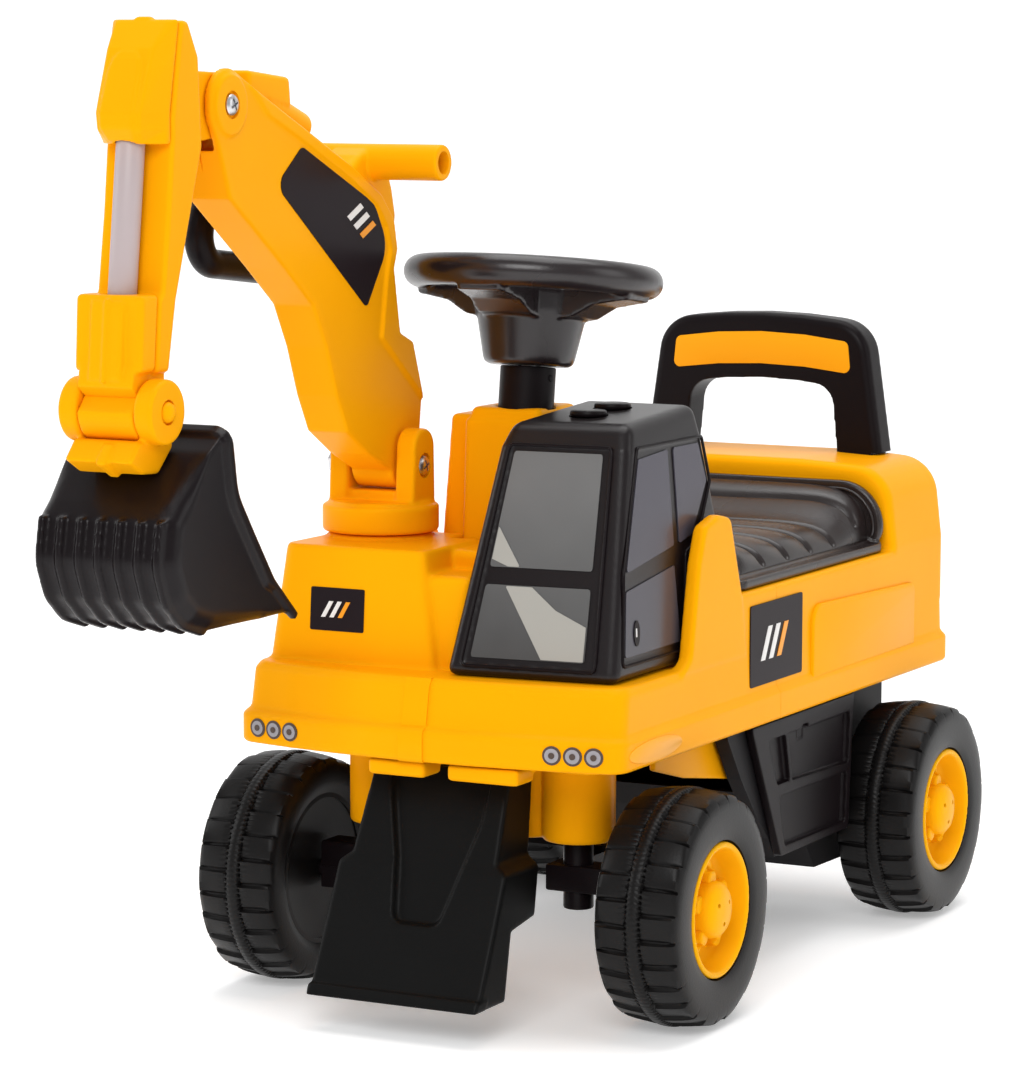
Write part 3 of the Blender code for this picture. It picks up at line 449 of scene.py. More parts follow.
PANE = window_print("window_print", (0.15, 0.15, 0.15), (0.045, 0.045, 0.045))
SIDE_PANE = window_print("side_window_print", (0.06, 0.055, 0.074), (0.05, 0.047, 0.056))


# ---------------------------------------------------------------- body

DECK_LEVELS = [(148.0, 117.6, -246.6), (149.5, 119.0, -248.0), (164.0, 119.0, -248.0), (166.2, 117.4, -246.2),
               (167.2, 116.2, -243.6), (189.0, 115.7, -239.6), (193.0, 113.2, -236.6)]
BODY_HALF = 115.7
WALL = 3.0


def deck(grow):
    rings = []
    for z, half, front in DECK_LEVELS:
        outline = plan(half - grow, front + grow, 247.0 - grow - (119.0 - half), 14.0, 11.0)
        top = z - grow if z > 160 else z
        rings.append([(x, y, top) for x, y in outline])
    if grow:
        rings[0] = [(x, y, 138.0) for x, y, _ in rings[0]]
    return loft(rings)


def walls(grow):
    half = BODY_HALF - grow
    outline = rounded([(-half, -76.0 + grow), (half, -76.0 + grow),
                       (half, 243.0 - grow), (-half, 243.0 - grow)], [3, 3, 16, 16])
    low = 178.0 if grow == 0 else 168.0
    return prism("Z", outline, low, 226.0 - grow)


def hump(grow):
    half = BODY_HALF - grow
    top = 280.5 - grow
    right = [(half, 183.0), (half, 228.0), (half - 5.5, top - 4.5), (85, top - 2.2), (50, top - 0.5)]
    side = rounded(right + [(-x, z) for x, z in right[::-1]],
                   [0, 6, 25 - grow, 0, 0, 0, 0, 25 - grow, 6, 0], 8)
    bm = prism("Y", side, 156.0 + grow, 241.0 - grow)
    return bm if grow else soft(bm, 7.0, 4, 50)


def tower(grow):
    low = [(-113, -215), (-4, -215), (-4, -141), (-34, -141), (-34, -122), (-60, -122), (-60, -100),
           (-113, -100)]
    top = [(-104, -210), (-14, -210), (-14, -141), (-34, -141), (-34, -122), (-60, -122), (-60, -104),
           (-104, -104)]
    rings = []
    for z, outline in ((187.0, low), (258.0 - grow, top)):
        moved = [(x + math.copysign(grow, -70 - x), y + math.copysign(grow, -158 - y)) for x, y in outline]
        if not grow:
            moved = rounded(moved, [9, 4, 2, 2, 2, 2, 4, 6], 6)
        rings.append([(x, y, z) for x, y in moved])
    bm = loft(rings)
    return bm if grow else soft(bm, 4.0, 4, 40)


def shoulder(grow):
    """The two steps that fill the space between the tower and the cab."""
    solids = []
    for front, edge, top in ((-208.5, 14.5, 245.0), (-178.0, 16.2, 256.0)):
        outline = [(-30, 172), (6.3 - grow, 172), (6.3 - grow, 193), (edge - grow, top - grow),
                   (-30, top - grow)]
        step = prism("Y", outline, front + grow, -141.0 - grow)
        solids.append(step if grow else soft(step, 4.0, 4, 40))
    return solids


def front_strip():
    """The raised band down the middle of the front."""
    return loft([[(-9, y - 0.9, z), (6, y - 0.9, z), (6, y + 3, z), (-9, y + 3, z)]
                 for z, _, y in DECK_LEVELS])


def side_relief(side):
    """The raised panel on the side of the body."""
    outline = rounded([(27, 165), (187, 165), (187, 204), (27, 208.5)], [0, 0, 6, 12])
    return soft(prism("X", outline, *span(side, 113.4, 118.0)), 1.5, 3, 50)


def steer_point(z):
    """The point of the steering's axis at a height."""
    return (0.0, STEER_CENTRE.y - (STEER_CENTRE.z - z) * math.tan(STEER_TILT), z)


def body_shells():
    pillar = rounded([(-154, 190), (-141, 199), (-131, 250), (-123, 270), (-104, 275), (-88, 272), (-72, 228),
                      (-64, 190)], [0, 3, 10, 6, 14, 6, 20, 0])
    solids = [deck(0), walls(0), hump(0), tower(0), soft(prism("X", pillar, 107.9, 116.4), 2.2, 3, 50),
              turret_pin(250, 261, 29.5, 64)] + shoulder(0)
    cuts = [deck(WALL), walls(WALL), hump(WALL), tower(WALL), *shoulder(WALL),
            block((-100, -20), (-205, -145), (173, 197)),
            prism("Z", rounded([(-100, -56), (100, -56), (100, 140), (-100, 140)], 10), 183, 236),
            turret_pin(238, 268, 14.4), bar(steer_point(160), steer_point(240), 8.0)]
    slots = [block(span(s, 54.6, 77), (213, 239), (259, 289)) for s in (-1, 1)]
    whole = built("body_whole", solids, cuts, voxel=1.4, late=slots)
    for bm in (side_relief(-1), side_relief(1), front_strip()):
        combine(whole, bm, "UNION")
    for name, low, high in (("body_front_shell", -270, SEAM - 0.2), ("body_rear_shell", SEAM + 0.2, 270)):
        half = whole.copy()
        half.data = whole.data.copy()
        half.name = name
        bpy.context.scene.collection.objects.link(half)
        combine(half, block((-200, 200), (low, high), (0, 400)), "INTERSECT")
        finish(half, "chassis", YELLOW, [name[:-6]], 50)
    bpy.data.objects.remove(whole, do_unlink=True)


def skirt_front(x, z):
    """The Y of the bowed skirt's front face."""
    return -248.0 + 14.0 * (x / 119.0) ** 2


def reflectors():
    for side, label in SIDES:
        oval = [(-192 + 33 * math.cos(a), 156.4 + 6.2 * math.sin(a)) for a in turns(48)]
        bm = soft(prism("X", oval, *span(side, 118.6, 119.7)), 0.4, 2, 60)
        piece(f"skirt_oval_{label}", bm, "chassis", REFLECTOR)


LAMP_PARTS = (("rim", 5.2, -0.8, 1.1, LAMP_DARK), ("glass", 3.9, 0.15, 0.45, LAMP_GREY),
              ("spot", 1.7, 0.45, 0.45, LAMP_DARK))


def lamps():
    def on_skirt(a, b, height):
        slope = 28.0 * a / 119.0 ** 2
        out = Vector((slope, -1, 0)).normalized()
        return Vector((a, skirt_front(a, b), b)) + out * height
    for side, label in SIDES:
        for number, across in enumerate((104.0, 92.5, 81.0)):
            centre = (side * across, 157.3)
            for part, radius, lift, thickness, material in LAMP_PARTS:
                disc = patch(arc(centre, radius, 33, 0, 360)[:-1], on_skirt, lift, lift + thickness)
                piece(f"lamp_{label}_{number}_{part}", disc, "chassis", material)


def stripes(name, corner, right, up, size, surface_normal, count, body):
    """Slanted bars in the middle of a label, as on any warning tape."""
    right, up = Vector(right).normalized(), Vector(up).normalized()
    normal = Vector(surface_normal).normalized()
    width = size[0] / (2 * count - 0.4)
    slant = size[1] * 0.55
    for i in range(count):
        start = i * 2 * width
        shape = [(start, 0), (start + width, 0), (start + width + slant, size[1]), (start + slant, size[1])]
        rings = [[Vector(corner) + right * a + up * b + normal * h for a, b in shape] for h in (0.0, 0.35)]
        material = LABEL_ORANGE if i == count - 1 else LABEL_WHITE
        piece(f"{name}_bar_{i}", loft(rings), body, material)


def body_labels():
    side = rounded([(-61, 171), (13, 171), (13, 218), (-61, 218)], 1.5, 3)
    piece("side_label", prism("X", side, 115.9, 116.6), "chassis", LABEL)
    stripes("side_label", (116.65, -47, 185), (0, 1, 0), (0, 0, 1), (32, 19), (1, 0, 0), 3, "chassis")
    slope = Vector((0, 5, 71)).normalized()
    normal = Vector((0, -71, 5)).normalized()
    base = Vector((0, -215 + 5 * (211 - 187) / 71, 211))
    front = rounded([(-84, 0), (-50, 0), (-50, 24), (-84, 24)], 1.0, 3)
    rings = [[base + Vector((a, 0, 0)) + slope * b + normal * h for a, b in front] for h in (-0.4, 0.45)]
    piece("tower_label", loft(rings), "chassis", LABEL)
    stripes("tower_label", base + Vector((-77, 0, 0)) + slope * 7.5 + normal * 0.5, (1, 0, 0), slope, (15, 9),
            normal, 3, "chassis")


# ---------------------------------------------------------------- chassis

def front_carrier():
    plate = prism("Z", rounded([(-99, -224), (99, -224), (98.5, -60), (-98.5, -60)], 8), 144.7, 147.7)
    solids = [plate]
    for side in (-1, 1):
        x = side * 61.0
        solids.append(bar((x, -AXLE_Y, 97.5), (x, -AXLE_Y, 146), 20.5, 64, 2.0))
        solids.append(bar((side * 34, -172, 98), (side * 34, -172, 146), 9.4, 48, 1.2, 11.5))
        solids.append(block(sorted((x, side * 34)), (-AXLE_Y - 8, -AXLE_Y + 4), (101, 146)))
        wall = [(-150, 146.5), (-150, 136), (-109, 125.5), (-36, 113.5), (-36, 146.5)]
        solids.append(prism("X", wall, *span(side, 95, 98.5)))
    for low, high in ((-31, 4), (18, 61)):
        solids.append(soft(block((low, high), (-243, -222), (138.5, 147.6)), 2.0, 3))
    cuts = [bar((side * 61, -AXLE_Y, 90), (side * 61, -AXLE_Y, 134), 6.6) for side in (-1, 1)]
    cuts.append(bar(steer_point(130), steer_point(160), 6.0))
    cuts += [bar((side * 34, -172, 96), (side * 34, -172, 102), 4.0) for side in (-1, 1)]
    finish(built("front_carrier_shell", solids, cuts, 1.1), "chassis", YELLOW, ["front_axle_carrier"], 50)
    for side, label in SIDES[::-1]:
        screw = bar((side * 34, -172, 99.5), (side * 34, -172, 101.8), 3.2, 24, 0.5)
        piece(f"carrier_screw_{label}", screw, "chassis", STEEL)


def blade_section(z, half, front, rear):
    return [(-half, front, z), (half, front, z), (half, rear, z), (-half, rear, z)]


def blade():
    levels = [(19, 52.5, -272, -239), (56, 52.2, -254, -231), (60, 52.1, -252, -203), (88, 52, -239, -198),
              (93, 45, -236, -197), (139.4, 42, -214.5, -186)]
    base = soft(loft([blade_section(*level) for level in levels]), 1.6, 3, 20)
    lip = soft(loft([blade_section(19, 52.8, -275, -262), blade_section(25.5, 52.8, -272, -259)]), 1.2, 3)
    outline = rounded([(-12, 56), (18, 56), (33, 112), (34, 146), (-35, 146), (-30, 122), (-19, 90)],
                      [7, 7, 12, 0, 0, 12, 20])
    rings = []
    for depth, shrink in ((-8.0, 1.0), (5.0, 0.9)):
        ring = [(2 + (a - 2) * shrink, b if b > 140 else 140 + (b - 140) * (0.5 + shrink / 2))
                for a, b in outline]
        rings.append([(a, -272 + (b - 19) * 0.4715 + depth, b) for a, b in ring])
    pocket = loft(rings)
    obj = built("blade_shell", [base, lip], [pocket], 1.1)
    finish(obj, "chassis", BLADE_BLACK, ["front_blade"], 50)


def side_panel(side, label):
    def flat(outline, low, high):
        return prism("X", outline, *span(side, low, high))
    outer = rounded([(-53, 146.5), (-53, 144), (-11, 65), (88, 65), (91.5, 68), (96.5, 140), (96.5, 146.5)],
                    [0, 2, 4, 2, 2, 2, 0])
    pockets = [rounded([(-30, 136.5), (-17, 108.5), (1.5, 108), (-6, 136.4)], 1.5, 3),
               rounded([(-2.5, 136.4), (5, 107.8), (90, 105), (92, 136)], [1.5, 1.5, 2.5, 2.5], 3),
               rounded([(-14, 101), (-5, 70.5), (86, 69.5), (88, 100)], 2.5)]
    slot = rounded([(19, 138.5), (19, 129), (28, 129), (28, 138.5)], 1.5)
    cuts = [flat(outline, 111.3, 120) for outline in pockets] + [flat(slot, 110.6, 120)]
    obj = built(f"side_panel_shell_{label}", [flat(outer, 109.9, 115.0)], cuts, 0.75)
    finish(obj, "chassis", BLACK, [f"side_panel_{label}"])


# ---------------------------------------------------------------- console and cab

def console():
    low = [(-57, -119), (-30, -119), (-30, -139), (3, -139), (5, -78), (-57, -78)]
    top = [(-46, -119), (-30, -119), (-28, -136), (19, -136), (20, -82), (-46, -82)]
    outer = soft(loft([[(x, y, 193.4) for x, y in low], [(x, y, 326) for x, y in top]]), 3.0, 3, 40)
    pad = soft(block((-26, 18.5), (-134, -85), (316, 332)), 4.0, 4)
    inner_low = [(-54, -116), (-27, -116), (-27, -136), (0, -136), (2, -81), (-54, -81)]
    inner_top = [(-43, -116), (-27, -116), (-25, -133), (16, -133), (17, -85), (-43, -85)]
    hollow = loft([[(x, y, 188) for x, y in inner_low], [(x, y, 321) for x, y in inner_top]])
    cuts = [hollow, bar(steer_point(185), steer_point(318), 6.5),
            bar(steer_point(312), steer_point(345), 16.6, 64)]
    finish(built("console_shell", [outer, pad], cuts, 1.2, 3), "chassis", YELLOW, ["console_cowl"], 50)


CAB_LOW, CAB_TOP = 193.3, 329.0
CAB_REAR = [(CAB_LOW, -121.0), (232.0, -100.0), (269.0, -79.0), (318.0, -98.0), (CAB_TOP, -100.0)]


def cab_front(share, across, out=0.0):
    """A point of the sloping windscreen: share goes up it and across goes from the right to the left side."""
    z = CAB_LOW + share * (CAB_TOP - CAB_LOW)
    right = Vector((7.0 + 22.0 * share, -226.0 + 28.5 * share, z))
    left = Vector((107.0 - 4.5 * share, -217.0 + 25.0 * share, z))
    normal = Vector((9.0, -100.0, 20.5)).normalized()
    return right.lerp(left, across) + normal * out


def cab_side(share, y, out=0.0):
    """A point of the cab's left side."""
    edge = cab_front(share, 1.0)
    return Vector((edge.x + out, y, edge.z + out * 0.03))


def on_front(across, up, out):
    """A point of the windscreen from percentages across and up."""
    return cab_front(up / 100, across / 100, out)


def on_side(y, up, out):
    """A point of the cab's left side from a Y and a percentage up."""
    return cab_side(up / 100, y, out)


def cab_ring(z, rear, grow=0.0, lower=0.0):
    share = (z - CAB_LOW) / (CAB_TOP - CAB_LOW)
    near, far = cab_front(share, 0.0), cab_front(share, 1.0)
    z -= lower
    return [(near.x + grow, near.y + grow, z), (far.x - grow, far.y + grow, z),
            (far.x - grow, rear - grow, z), (near.x + grow, rear - grow, z)]


def roof_height(y):
    """The top of the roof, which climbs towards the back."""
    return 330.5 + (y + 192.6) * 0.0606


def cab():
    crown = [(x * 0.92 + 5.0, y * 0.95 - 5.0, roof_height(y * 0.95 - 5.0))
             for x, y, _ in cab_ring(CAB_TOP, -102.0)]
    outer = soft(loft([cab_ring(z, rear) for z, rear in CAB_REAR[:-1]] + [crown]), 5.5, 5, 24)
    inner = loft([cab_ring(z, rear, 4.0, 4.0 if i else 8.0) for i, (z, rear) in enumerate(CAB_REAR)])
    corners = [(0.045, 0.085), (0.045, 0.875), (0.925, 0.875), (0.925, 0.085)]
    side_line = [(0.065, -208), (0.065, -129), (0.46, -125), (0.5, -109), (0.73, -91), (0.92, -101),
                 (0.92, -184), (0.43, -204)]
    cuts = [inner, patch(corners, cab_front, -1.3, 6.0), patch(side_line, cab_side, -0.9, 6.0)]
    front_line = rounded([(8.5, 4.5), (87.5, 4.5), (87.5, 92.5), (8.5, 92.5)], 3, 5)
    bead("cab_front_bead", [on_front(a, b, 0.1) for a, b in front_line])
    side_line = rounded([(y, share * 100) for share, y in side_line], 2.5, 4)
    bead("cab_side_bead", [on_side(y, b, 0.1) for y, b in side_line])
    late = [bar((x, y, 318), (x, y, 345), 7.0) for x, y in BUTTONS.values()]
    late += [bar((x, y, roof_height(y) - 2.6), (x, y, 345), 11.0) for x, y in BUTTONS.values()]
    obj = built("cab_body", [outer], cuts, 1.1, late=late)
    finish(obj, "chassis", CAB_BLACK, ["cab_shell"], 50)


def bead(name, path):
    """A thin moulded line round a group of windows."""
    dense = []
    for i, point in enumerate(path):
        after = path[(i + 1) % len(path)]
        steps = max(1, int((after - point).length / 5))
        dense += [point.lerp(after, k / steps) for k in range(steps)]
    piece(name, hoop(dense, 0.9, 8), "chassis", BLACK)


def pane(name, corners, surface, material, radius, nodes=(), base=-1.2, thickness=0.7):
    bm = patch(rounded(corners, radius, 4), surface, base, base + thickness)
    piece(name, bm, "chassis", material, nodes)


def cab_windows():
    pane("window_front_upper", [(13, 44), (80.5, 44), (80.5, 90), (13, 90)], on_front, PANE, 1.6,
         ["cab_front_window"])
    pane("window_front_lower", [(13, 8), (80.5, 8), (80.5, 37), (13, 37)], on_front, PANE, 1.6)
    streaks = {"window_streak_upper": [(13.6, 47), (25, 44.3), (33, 44.3), (13.6, 60)],
               "window_streak_lower": [(26, 36.6), (55, 8.4), (79.8, 8.4), (79.8, 22), (60, 28), (43, 36.6)]}
    for name, corners in streaks.items():
        pane(name, corners, on_front, STREAK, 0.4, base=-0.45, thickness=0.25)
    pane("window_side_front", [(-200, 43.3), (-139.5, 49.9), (-145, 89.3), (-182, 87.5)], on_side,
         SIDE_PANE, 1.5, ["cab_side_window"], -0.8)
    pane("window_side_rear", [(-132, 50.2), (-115, 53), (-95, 73.5), (-105, 89.6), (-137.5, 89.6)], on_side,
         SIDE_PANE, 1.5, base=-0.8)
    pane("window_side_lower", [(-204, 9.8), (-134, 10.2), (-139.5, 41.8), (-201, 35.9)], on_side,
         SIDE_PANE, 1.5, base=-0.8)
    handle = [(-190 + 3.6 * math.cos(a), 18.6 + 5.2 * math.sin(a)) for a in turns(24)]
    piece("cab_door_handle", patch(handle, on_side, -0.1, 0.5), "chassis", BLACK)
    mark = [(-191.6, 17.2), (-190.4, 17.2), (-190.4, 20.6), (-191.6, 20.6)]
    piece("cab_door_mark", patch(mark, on_side, 0.45, 0.75), "chassis", LABEL_WHITE)


def buttons():
    for name, (x, y) in BUTTONS.items():
        base = roof_height(y) - 0.3
        cap = bar((x, y, base), (x, y, base + 3.3), 10.3, 48, 1.3)
        obj = built(f"{name}_cap", [cap, bar((x, y, 323), (x, y, base + 1.5), 6.6)])
        finish(obj, name, BLACK, [name])


# ---------------------------------------------------------------- seat and handle

SEAT_HALF = 101.5


def seat_height(x, y):
    """The top of the seat pad."""
    rise = ease(y, 96, 147)
    front = ease(y, -58, -30)
    edge = 231.5 + 9.0 * rise
    top = 236.0 + front * 14.0 + 17.0 * rise
    power = 8.0
    across = min(1.0, abs(x) / SEAT_HALF)
    body = edge + (top - edge) * math.sqrt(1 - across ** power)
    groove = abs(math.sin(math.pi * (y + 48.0 - 4.0 * across ** 2) / 35.0))
    depth = 3.2 + 2.4 * across ** 2
    valley = depth * (1 - min(1.0, groove / 0.36)) ** 1.4 + 1.8 * (1 - groove)
    fade = ease(SEAT_HALF - abs(x), 0.0, 2.5) * ease(y, -57, -51) * ease(146 - y, 0, 6)
    return body - valley * fade


def seat():
    """The ribbed cushion and the frame round it, with a bead along the inside of the back."""
    along = [-57.0 + 202.5 * i / 200 for i in range(201)]
    across = [SEAT_HALF * math.sin(math.pi / 2 * (-1 + 2 * i / 84)) for i in range(85)]
    bm = bmesh.new()
    top = [[bm.verts.new((x, y, seat_height(x, y))) for x in across] for y in along]
    low = [[bm.verts.new((x, y, 229.0 + (seat_height(x, y) - 236.0) * 0.6 * ease(y, 100, 147)))
            for x in across]
           for y in along]
    for i in range(len(along) - 1):
        for j in range(len(across) - 1):
            bm.faces.new((top[i][j], top[i][j + 1], top[i + 1][j + 1], top[i + 1][j]))
            bm.faces.new((low[i][j], low[i + 1][j], low[i + 1][j + 1], low[i][j + 1]))
    for i in range(len(along) - 1):
        for j in (0, len(across) - 1):
            bm.faces.new((top[i][j], low[i][j], low[i + 1][j], top[i + 1][j]))
    for j in range(len(across) - 1):
        for i in (0, len(along) - 1):
            bm.faces.new((top[i][j], top[i][j + 1], low[i][j + 1], low[i][j]))
    piece("seat_cushion", bm, "seat", SEAT, ["seat_pad"], 60)
    rail = prism("Z", rounded([(-111, -62), (111, -62), (111, 151), (-111, 151)], [8, 8, 4, 4]), 226.3, 232.0)
    back = rounded([(111, 227), (111, 269.5), (-111, 269.5), (-111, 227)], [14, 28, 28, 14], 10)
    rear = soft(prism("Y", back, 145.8, 152.2), 1.6, 3, 50)
    opening = prism("Z", rounded([(-99, -55), (99, -55), (99, 145), (-99, 145)], [8, 8, 8, 8]), 215, 228.6)
    line = rounded([(-102.5, -58), (102.5, -58), (102.5, 146.5), (-102.5, 146.5)], [6, 6, 3, 3], 5)
    parts = [rail, rear, hoop([(x, y, 232.3) for x, y in line], 1.7, 10)]
    finish(built("seat_frame", parts, [opening], 1.2), "seat", SEAT, ["seat_base"], 50)
    lip = []
    for point in [Vector((x, 145.6, z)) for x, z in inset(back, 5.0) if z > 236]:
        lip += [(lip[-1] + point) / 2, point] if lip else [point]
    across = Vector((0, 1, 0))
    rings = []
    for point, ahead in headings(lip):
        out = across.cross(ahead).normalized()
        rings.append([point + (out * math.cos(a) + across * math.sin(a)) * 1.1 for a in turns(10)])
    piece("seat_back_bead", loft(rings), "seat", SEAT)


def arched(x, edge, middle, half):
    """The height of a flat arch at x."""
    return edge + (middle - edge) * (1 - (x / half) ** 2)


def rear_handle():
    top = [(x, arched(x, 360.5, 366.5, 70)) for x in (-70, -48, -25, 0, 25, 48, 70)]
    outer = rounded([(84.5, 261)] + top[::-1] + [(-84.5, 261)], [0, 24] + [0] * 5 + [24, 0], 8)
    under = [(x, arched(x, 321, 325, 48.5)) for x in (-48.5, -25, 0, 25, 48.5)]
    inner = rounded([(55.5, 250)] + under[::-1] + [(-55.5, 250)], [0, 14, 0, 0, 0, 14, 0], 8)
    solids = [soft(prism("Y", outer, 214, 238), 5.0, 4, 50)]
    hole = prism("Y", inner, 200, 250)
    trims = [block(span(s, 76.4, 95), (200, 250), (240, 280.2)) for s in (-1, 1)]
    groove_top = [(x, arched(x, 349.5, 354.5, 60)) for x in (-59.5, -30, 0, 30, 59.5)]
    groove_low = [(x, arched(x, 329.5, 334, 60)) for x in (-61.5, -30, 0, 30, 61.5)]
    band = rounded(groove_low + groove_top[::-1], [4, 0, 0, 0, 4, 4, 0, 0, 0, 4], 5)
    obj = built("rear_handle_grip", solids, [hole], 1.1, 3, trims)
    combine(obj, prism("Y", inset(band, -0.6), 206, 214.5), "DIFFERENCE")
    finish(obj, "chassis", BLACK, ["rear_handle"], 50)
    piece("handle_band", soft(prism("Y", band, 213.7, 214.6), 0.3, 2, 60), "chassis", ORANGE,
          ["handle_inlay"])


# ---------------------------------------------------------------- wheels and steering

LUGS = 28


def tread_depth(d, angle):
    """How far the tyre's surface lies below its crown."""
    reach = abs(d)
    turn = LUGS * angle / (2 * math.pi) + (0.5 if d > 0 else 0.0)
    u = turn - math.floor(turn)
    gap = 1 - ease(min(u, 1 - u), 0.035, 0.1)
    lug = gap * 2.8 + (1 - gap) * 1.9 * u
    end = 24.6 if math.floor(turn) % 2 else 21.4
    on_lug = ease(reach, 3.8, 4.6) * (1 - ease(reach, end - 2.2, end))
    notch_turn = 5 * LUGS * angle / (2 * math.pi)
    notch = 1.0 if notch_turn % 1.0 < 0.5 else 0.0
    line = math.exp(-((reach - 4.0) / 0.8) ** 2) * (0.5 + 2.0 * notch)
    return lug * on_lug + line


TREAD_HALF = [(25, 50), (25, 55), (24.6, 58.5), (23.8, 61), (22.6, 62.8), (20, 63.8), (15, 64.7), (10, 65.3),
              (5.4, 65.7), (4.6, 65.8), (4.0, 65.8), (3.4, 65.8), (2.6, 65.9)]
TYRE_PROFILE = [(-22, 5.5), (-22, 20), (-21.5, 40), (-22.5, 43), (-24.3, 46.5)]
TYRE_PROFILE += [(-d, r) for d, r in TREAD_HALF] + [(0, 66)] + TREAD_HALF[::-1]
TYRE_PROFILE += [(24.7, 45), (24.2, 41), (23.4, 38.6), (21, 38.1), (4.5, 38.1), (4.5, 5.5)]
TREAD_START = 57


def wheel(label, side, y, body):
    """A tyre with its tread, the rim with five bosses and ribs, and the hub cap."""
    centre = Vector((side * TRACK / 2, y, WHEEL_RADIUS))

    def spot(turn, radius, out):
        """A point at an angle in degrees round the axle, out from the middle of the wheel."""
        angle = math.radians(turn)
        return centre + Vector((side * out, radius * math.cos(angle), radius * math.sin(angle)))
    rings = []
    for angle in turns(LUGS * 20):
        ring = [(d, r - tread_depth(d, angle) if r > TREAD_START else r) for d, r in TYRE_PROFILE]
        rings.append([centre + Vector((side * d, r * math.cos(angle), r * math.sin(angle))) for d, r in ring])
    piece(f"tyre_tread_{label}", loft(rings, True), body, TYRE, [f"tyre_{label}"], 50)
    direction = (side, 0, 0)
    bowl = [(5.2, 5.4), (5.2, 26), (8, 33), (13, 37.2), (22.2, 37.6), (23.6, 37.0), (24.1, 35.8),
            (23.8, 34.6),
            (22.4, 33.8), (16, 32.2), (11.5, 30.6), (9.6, 28.5), (9.0, 25), (8.8, 12), (8.8, 5.4)]
    solids = [turned(bowl, centre, direction, 72)]
    fifths = [90 + 72 * i for i in range(5)]
    for turn in fifths:
        solids.append(bar(spot(turn, 22.5, 7), spot(turn, 22.5, 15.5), 5.4, 24, 1.2))
        solids.append(bar(spot(turn, 22.5 * 0.75, 7), spot(turn, 22.5 * 0.75, 18.5), 5.2, 24, 1.2))
    cuts = [bar(spot(turn, 22.5, 13.5), spot(turn, 22.5, 18), 1.8, 16) for turn in fifths]
    finish(built(f"rim_bowl_{label}", solids, cuts, 0.9), body, RIM_YELLOW, [f"rim_{label}"], 50)
    hub = [(12.0, 0), (12.0, 16.3), (18.5, 16.0), (22.0, 15.0), (24.2, 12.4), (25.3, 8.0), (25.9, 3.0),
           (26.0, 0)]
    holes = [bar(spot(turn, 7.5, 21.5), spot(turn, 7.5, 28), 1.3, 16) for turn in (30, 150, 270)]
    cap = built(f"hub_{label}", [turned(hub, centre, direction, 56)], late=holes)
    finish(cap, body, RIM_YELLOW, [f"hub_cap_{label}"], 40)
    ring = [(-22.6, 44.0), (-22.6, 40.5), (-21.0, 40.5), (-21.0, 44.0)]
    piece(f"tyre_inner_ring_{label}", turned(ring, centre, direction), body, TYRE)


def knuckle(side, label):
    x, y = side * 61.0, -AXLE_Y
    arm, stub = span(side, 45, 98.5), span(side, 84, 98.5)
    solids = [bar((x, y, 59), (x, y, 97), 8.5, 48, 1.0), soft(block(arm, (y - 10, y + 10), (69, 84)), 1.5, 2),
              block(stub, (y - 9, y + 9), (57, 71)),
              bar((side * 95, y, 66), (side * 142.5, y, 66), 5.0, 32), bar((x, y, 90), (x, y, 132), 6.0, 32),
              block((x - 5, x + 5), (y, y + 33), (79, 87)), bar((x, y + 28, 85), (x, y + 28, 94), 3.0, 24)]
    finish(built(f"knuckle_arm_{label}", solids), f"knuckle_{label}", BLACK, [f"knuckle_{label}"])


# distance from the middle, low and high side, half width
STEERING_SPOKE = [(12, -26, -5, 19), (34, -22, -6, 17), (46, -15, -6.5, 16), (60, -12.5, -7.5, 15),
                  (67, -11.5, -7.5, 13)]


def steering():
    """The wheel with three spokes, its cap, and the tube below it with a screw."""
    tilt = Matrix.Rotation(-STEER_TILT, 3, "X")
    along = tilt @ Vector((0, 0, 1))
    ring = [STEER_CENTRE + tilt @ Vector((64.6 * math.cos(a), 64.6 * math.sin(a), 0)) for a in turns(120)]
    hub = [(-50.0, 0), (-50.0, 22.5), (-48.5, 25.0), (-46, 26.0), (-19.0, 31.5), (-8.0, 32.0), (-3, 30.5),
           (1.0, 26.0), (2.6, 18.0), (3.0, 0)]
    solids = [hoop(ring, 9.0, 24), turned(hub, STEER_CENTRE, along, 72)]
    for angle in (0.0, 180.0, 270.0):
        turn = Matrix.Rotation(math.radians(angle), 3, "Z")
        sections = []
        for d, low, high, half in STEERING_SPOKE:
            shape = [(d, -half, low), (d, half, low), (d, half, high), (d, -half, high)]
            sections.append([tuple(STEER_CENTRE + tilt @ (turn @ Vector(p))) for p in shape])
        solids.append(loft(sections))
    bolt_way = bar(STEER_CENTRE + along * -52, STEER_CENTRE + along * -30, 4.4)
    finish(built("steering_wheel_rim", solids, [bolt_way], 1.1), "steering", GLOSS_BLACK,
           ["steering_wheel"], 50)
    cap = [(3.1, 0), (3.1, 20.0), (4.0, 20.6), (5.2, 19.0), (6.2, 12.0), (6.6, 0)]
    piece("steering_centre_cap", turned(cap, STEER_CENTRE, along, 64), "steering", BLACK)
    column = [(-88.0, 4.5), (-88.0, 15.2), (-87.4, 15.8), (-51.2, 15.8), (-50.6, 15.2), (-50.6, 4.5)]
    piece("steering_column_tube", turned(column, STEER_CENTRE, along, 64), "steering", BLACK,
          ["steering_column"])
    out = Vector((0.99, -0.118, 0)).normalized()
    spot = STEER_CENTRE + along * -56.5 + out * 15.6
    screw = bar(spot + out * -1.0, spot + out * 0.9, 2.1, 20, 0.4)
    piece("steering_column_screw", screw, "steering", INNER, slot="steel")


# ---------------------------------------------------------------- digging arm

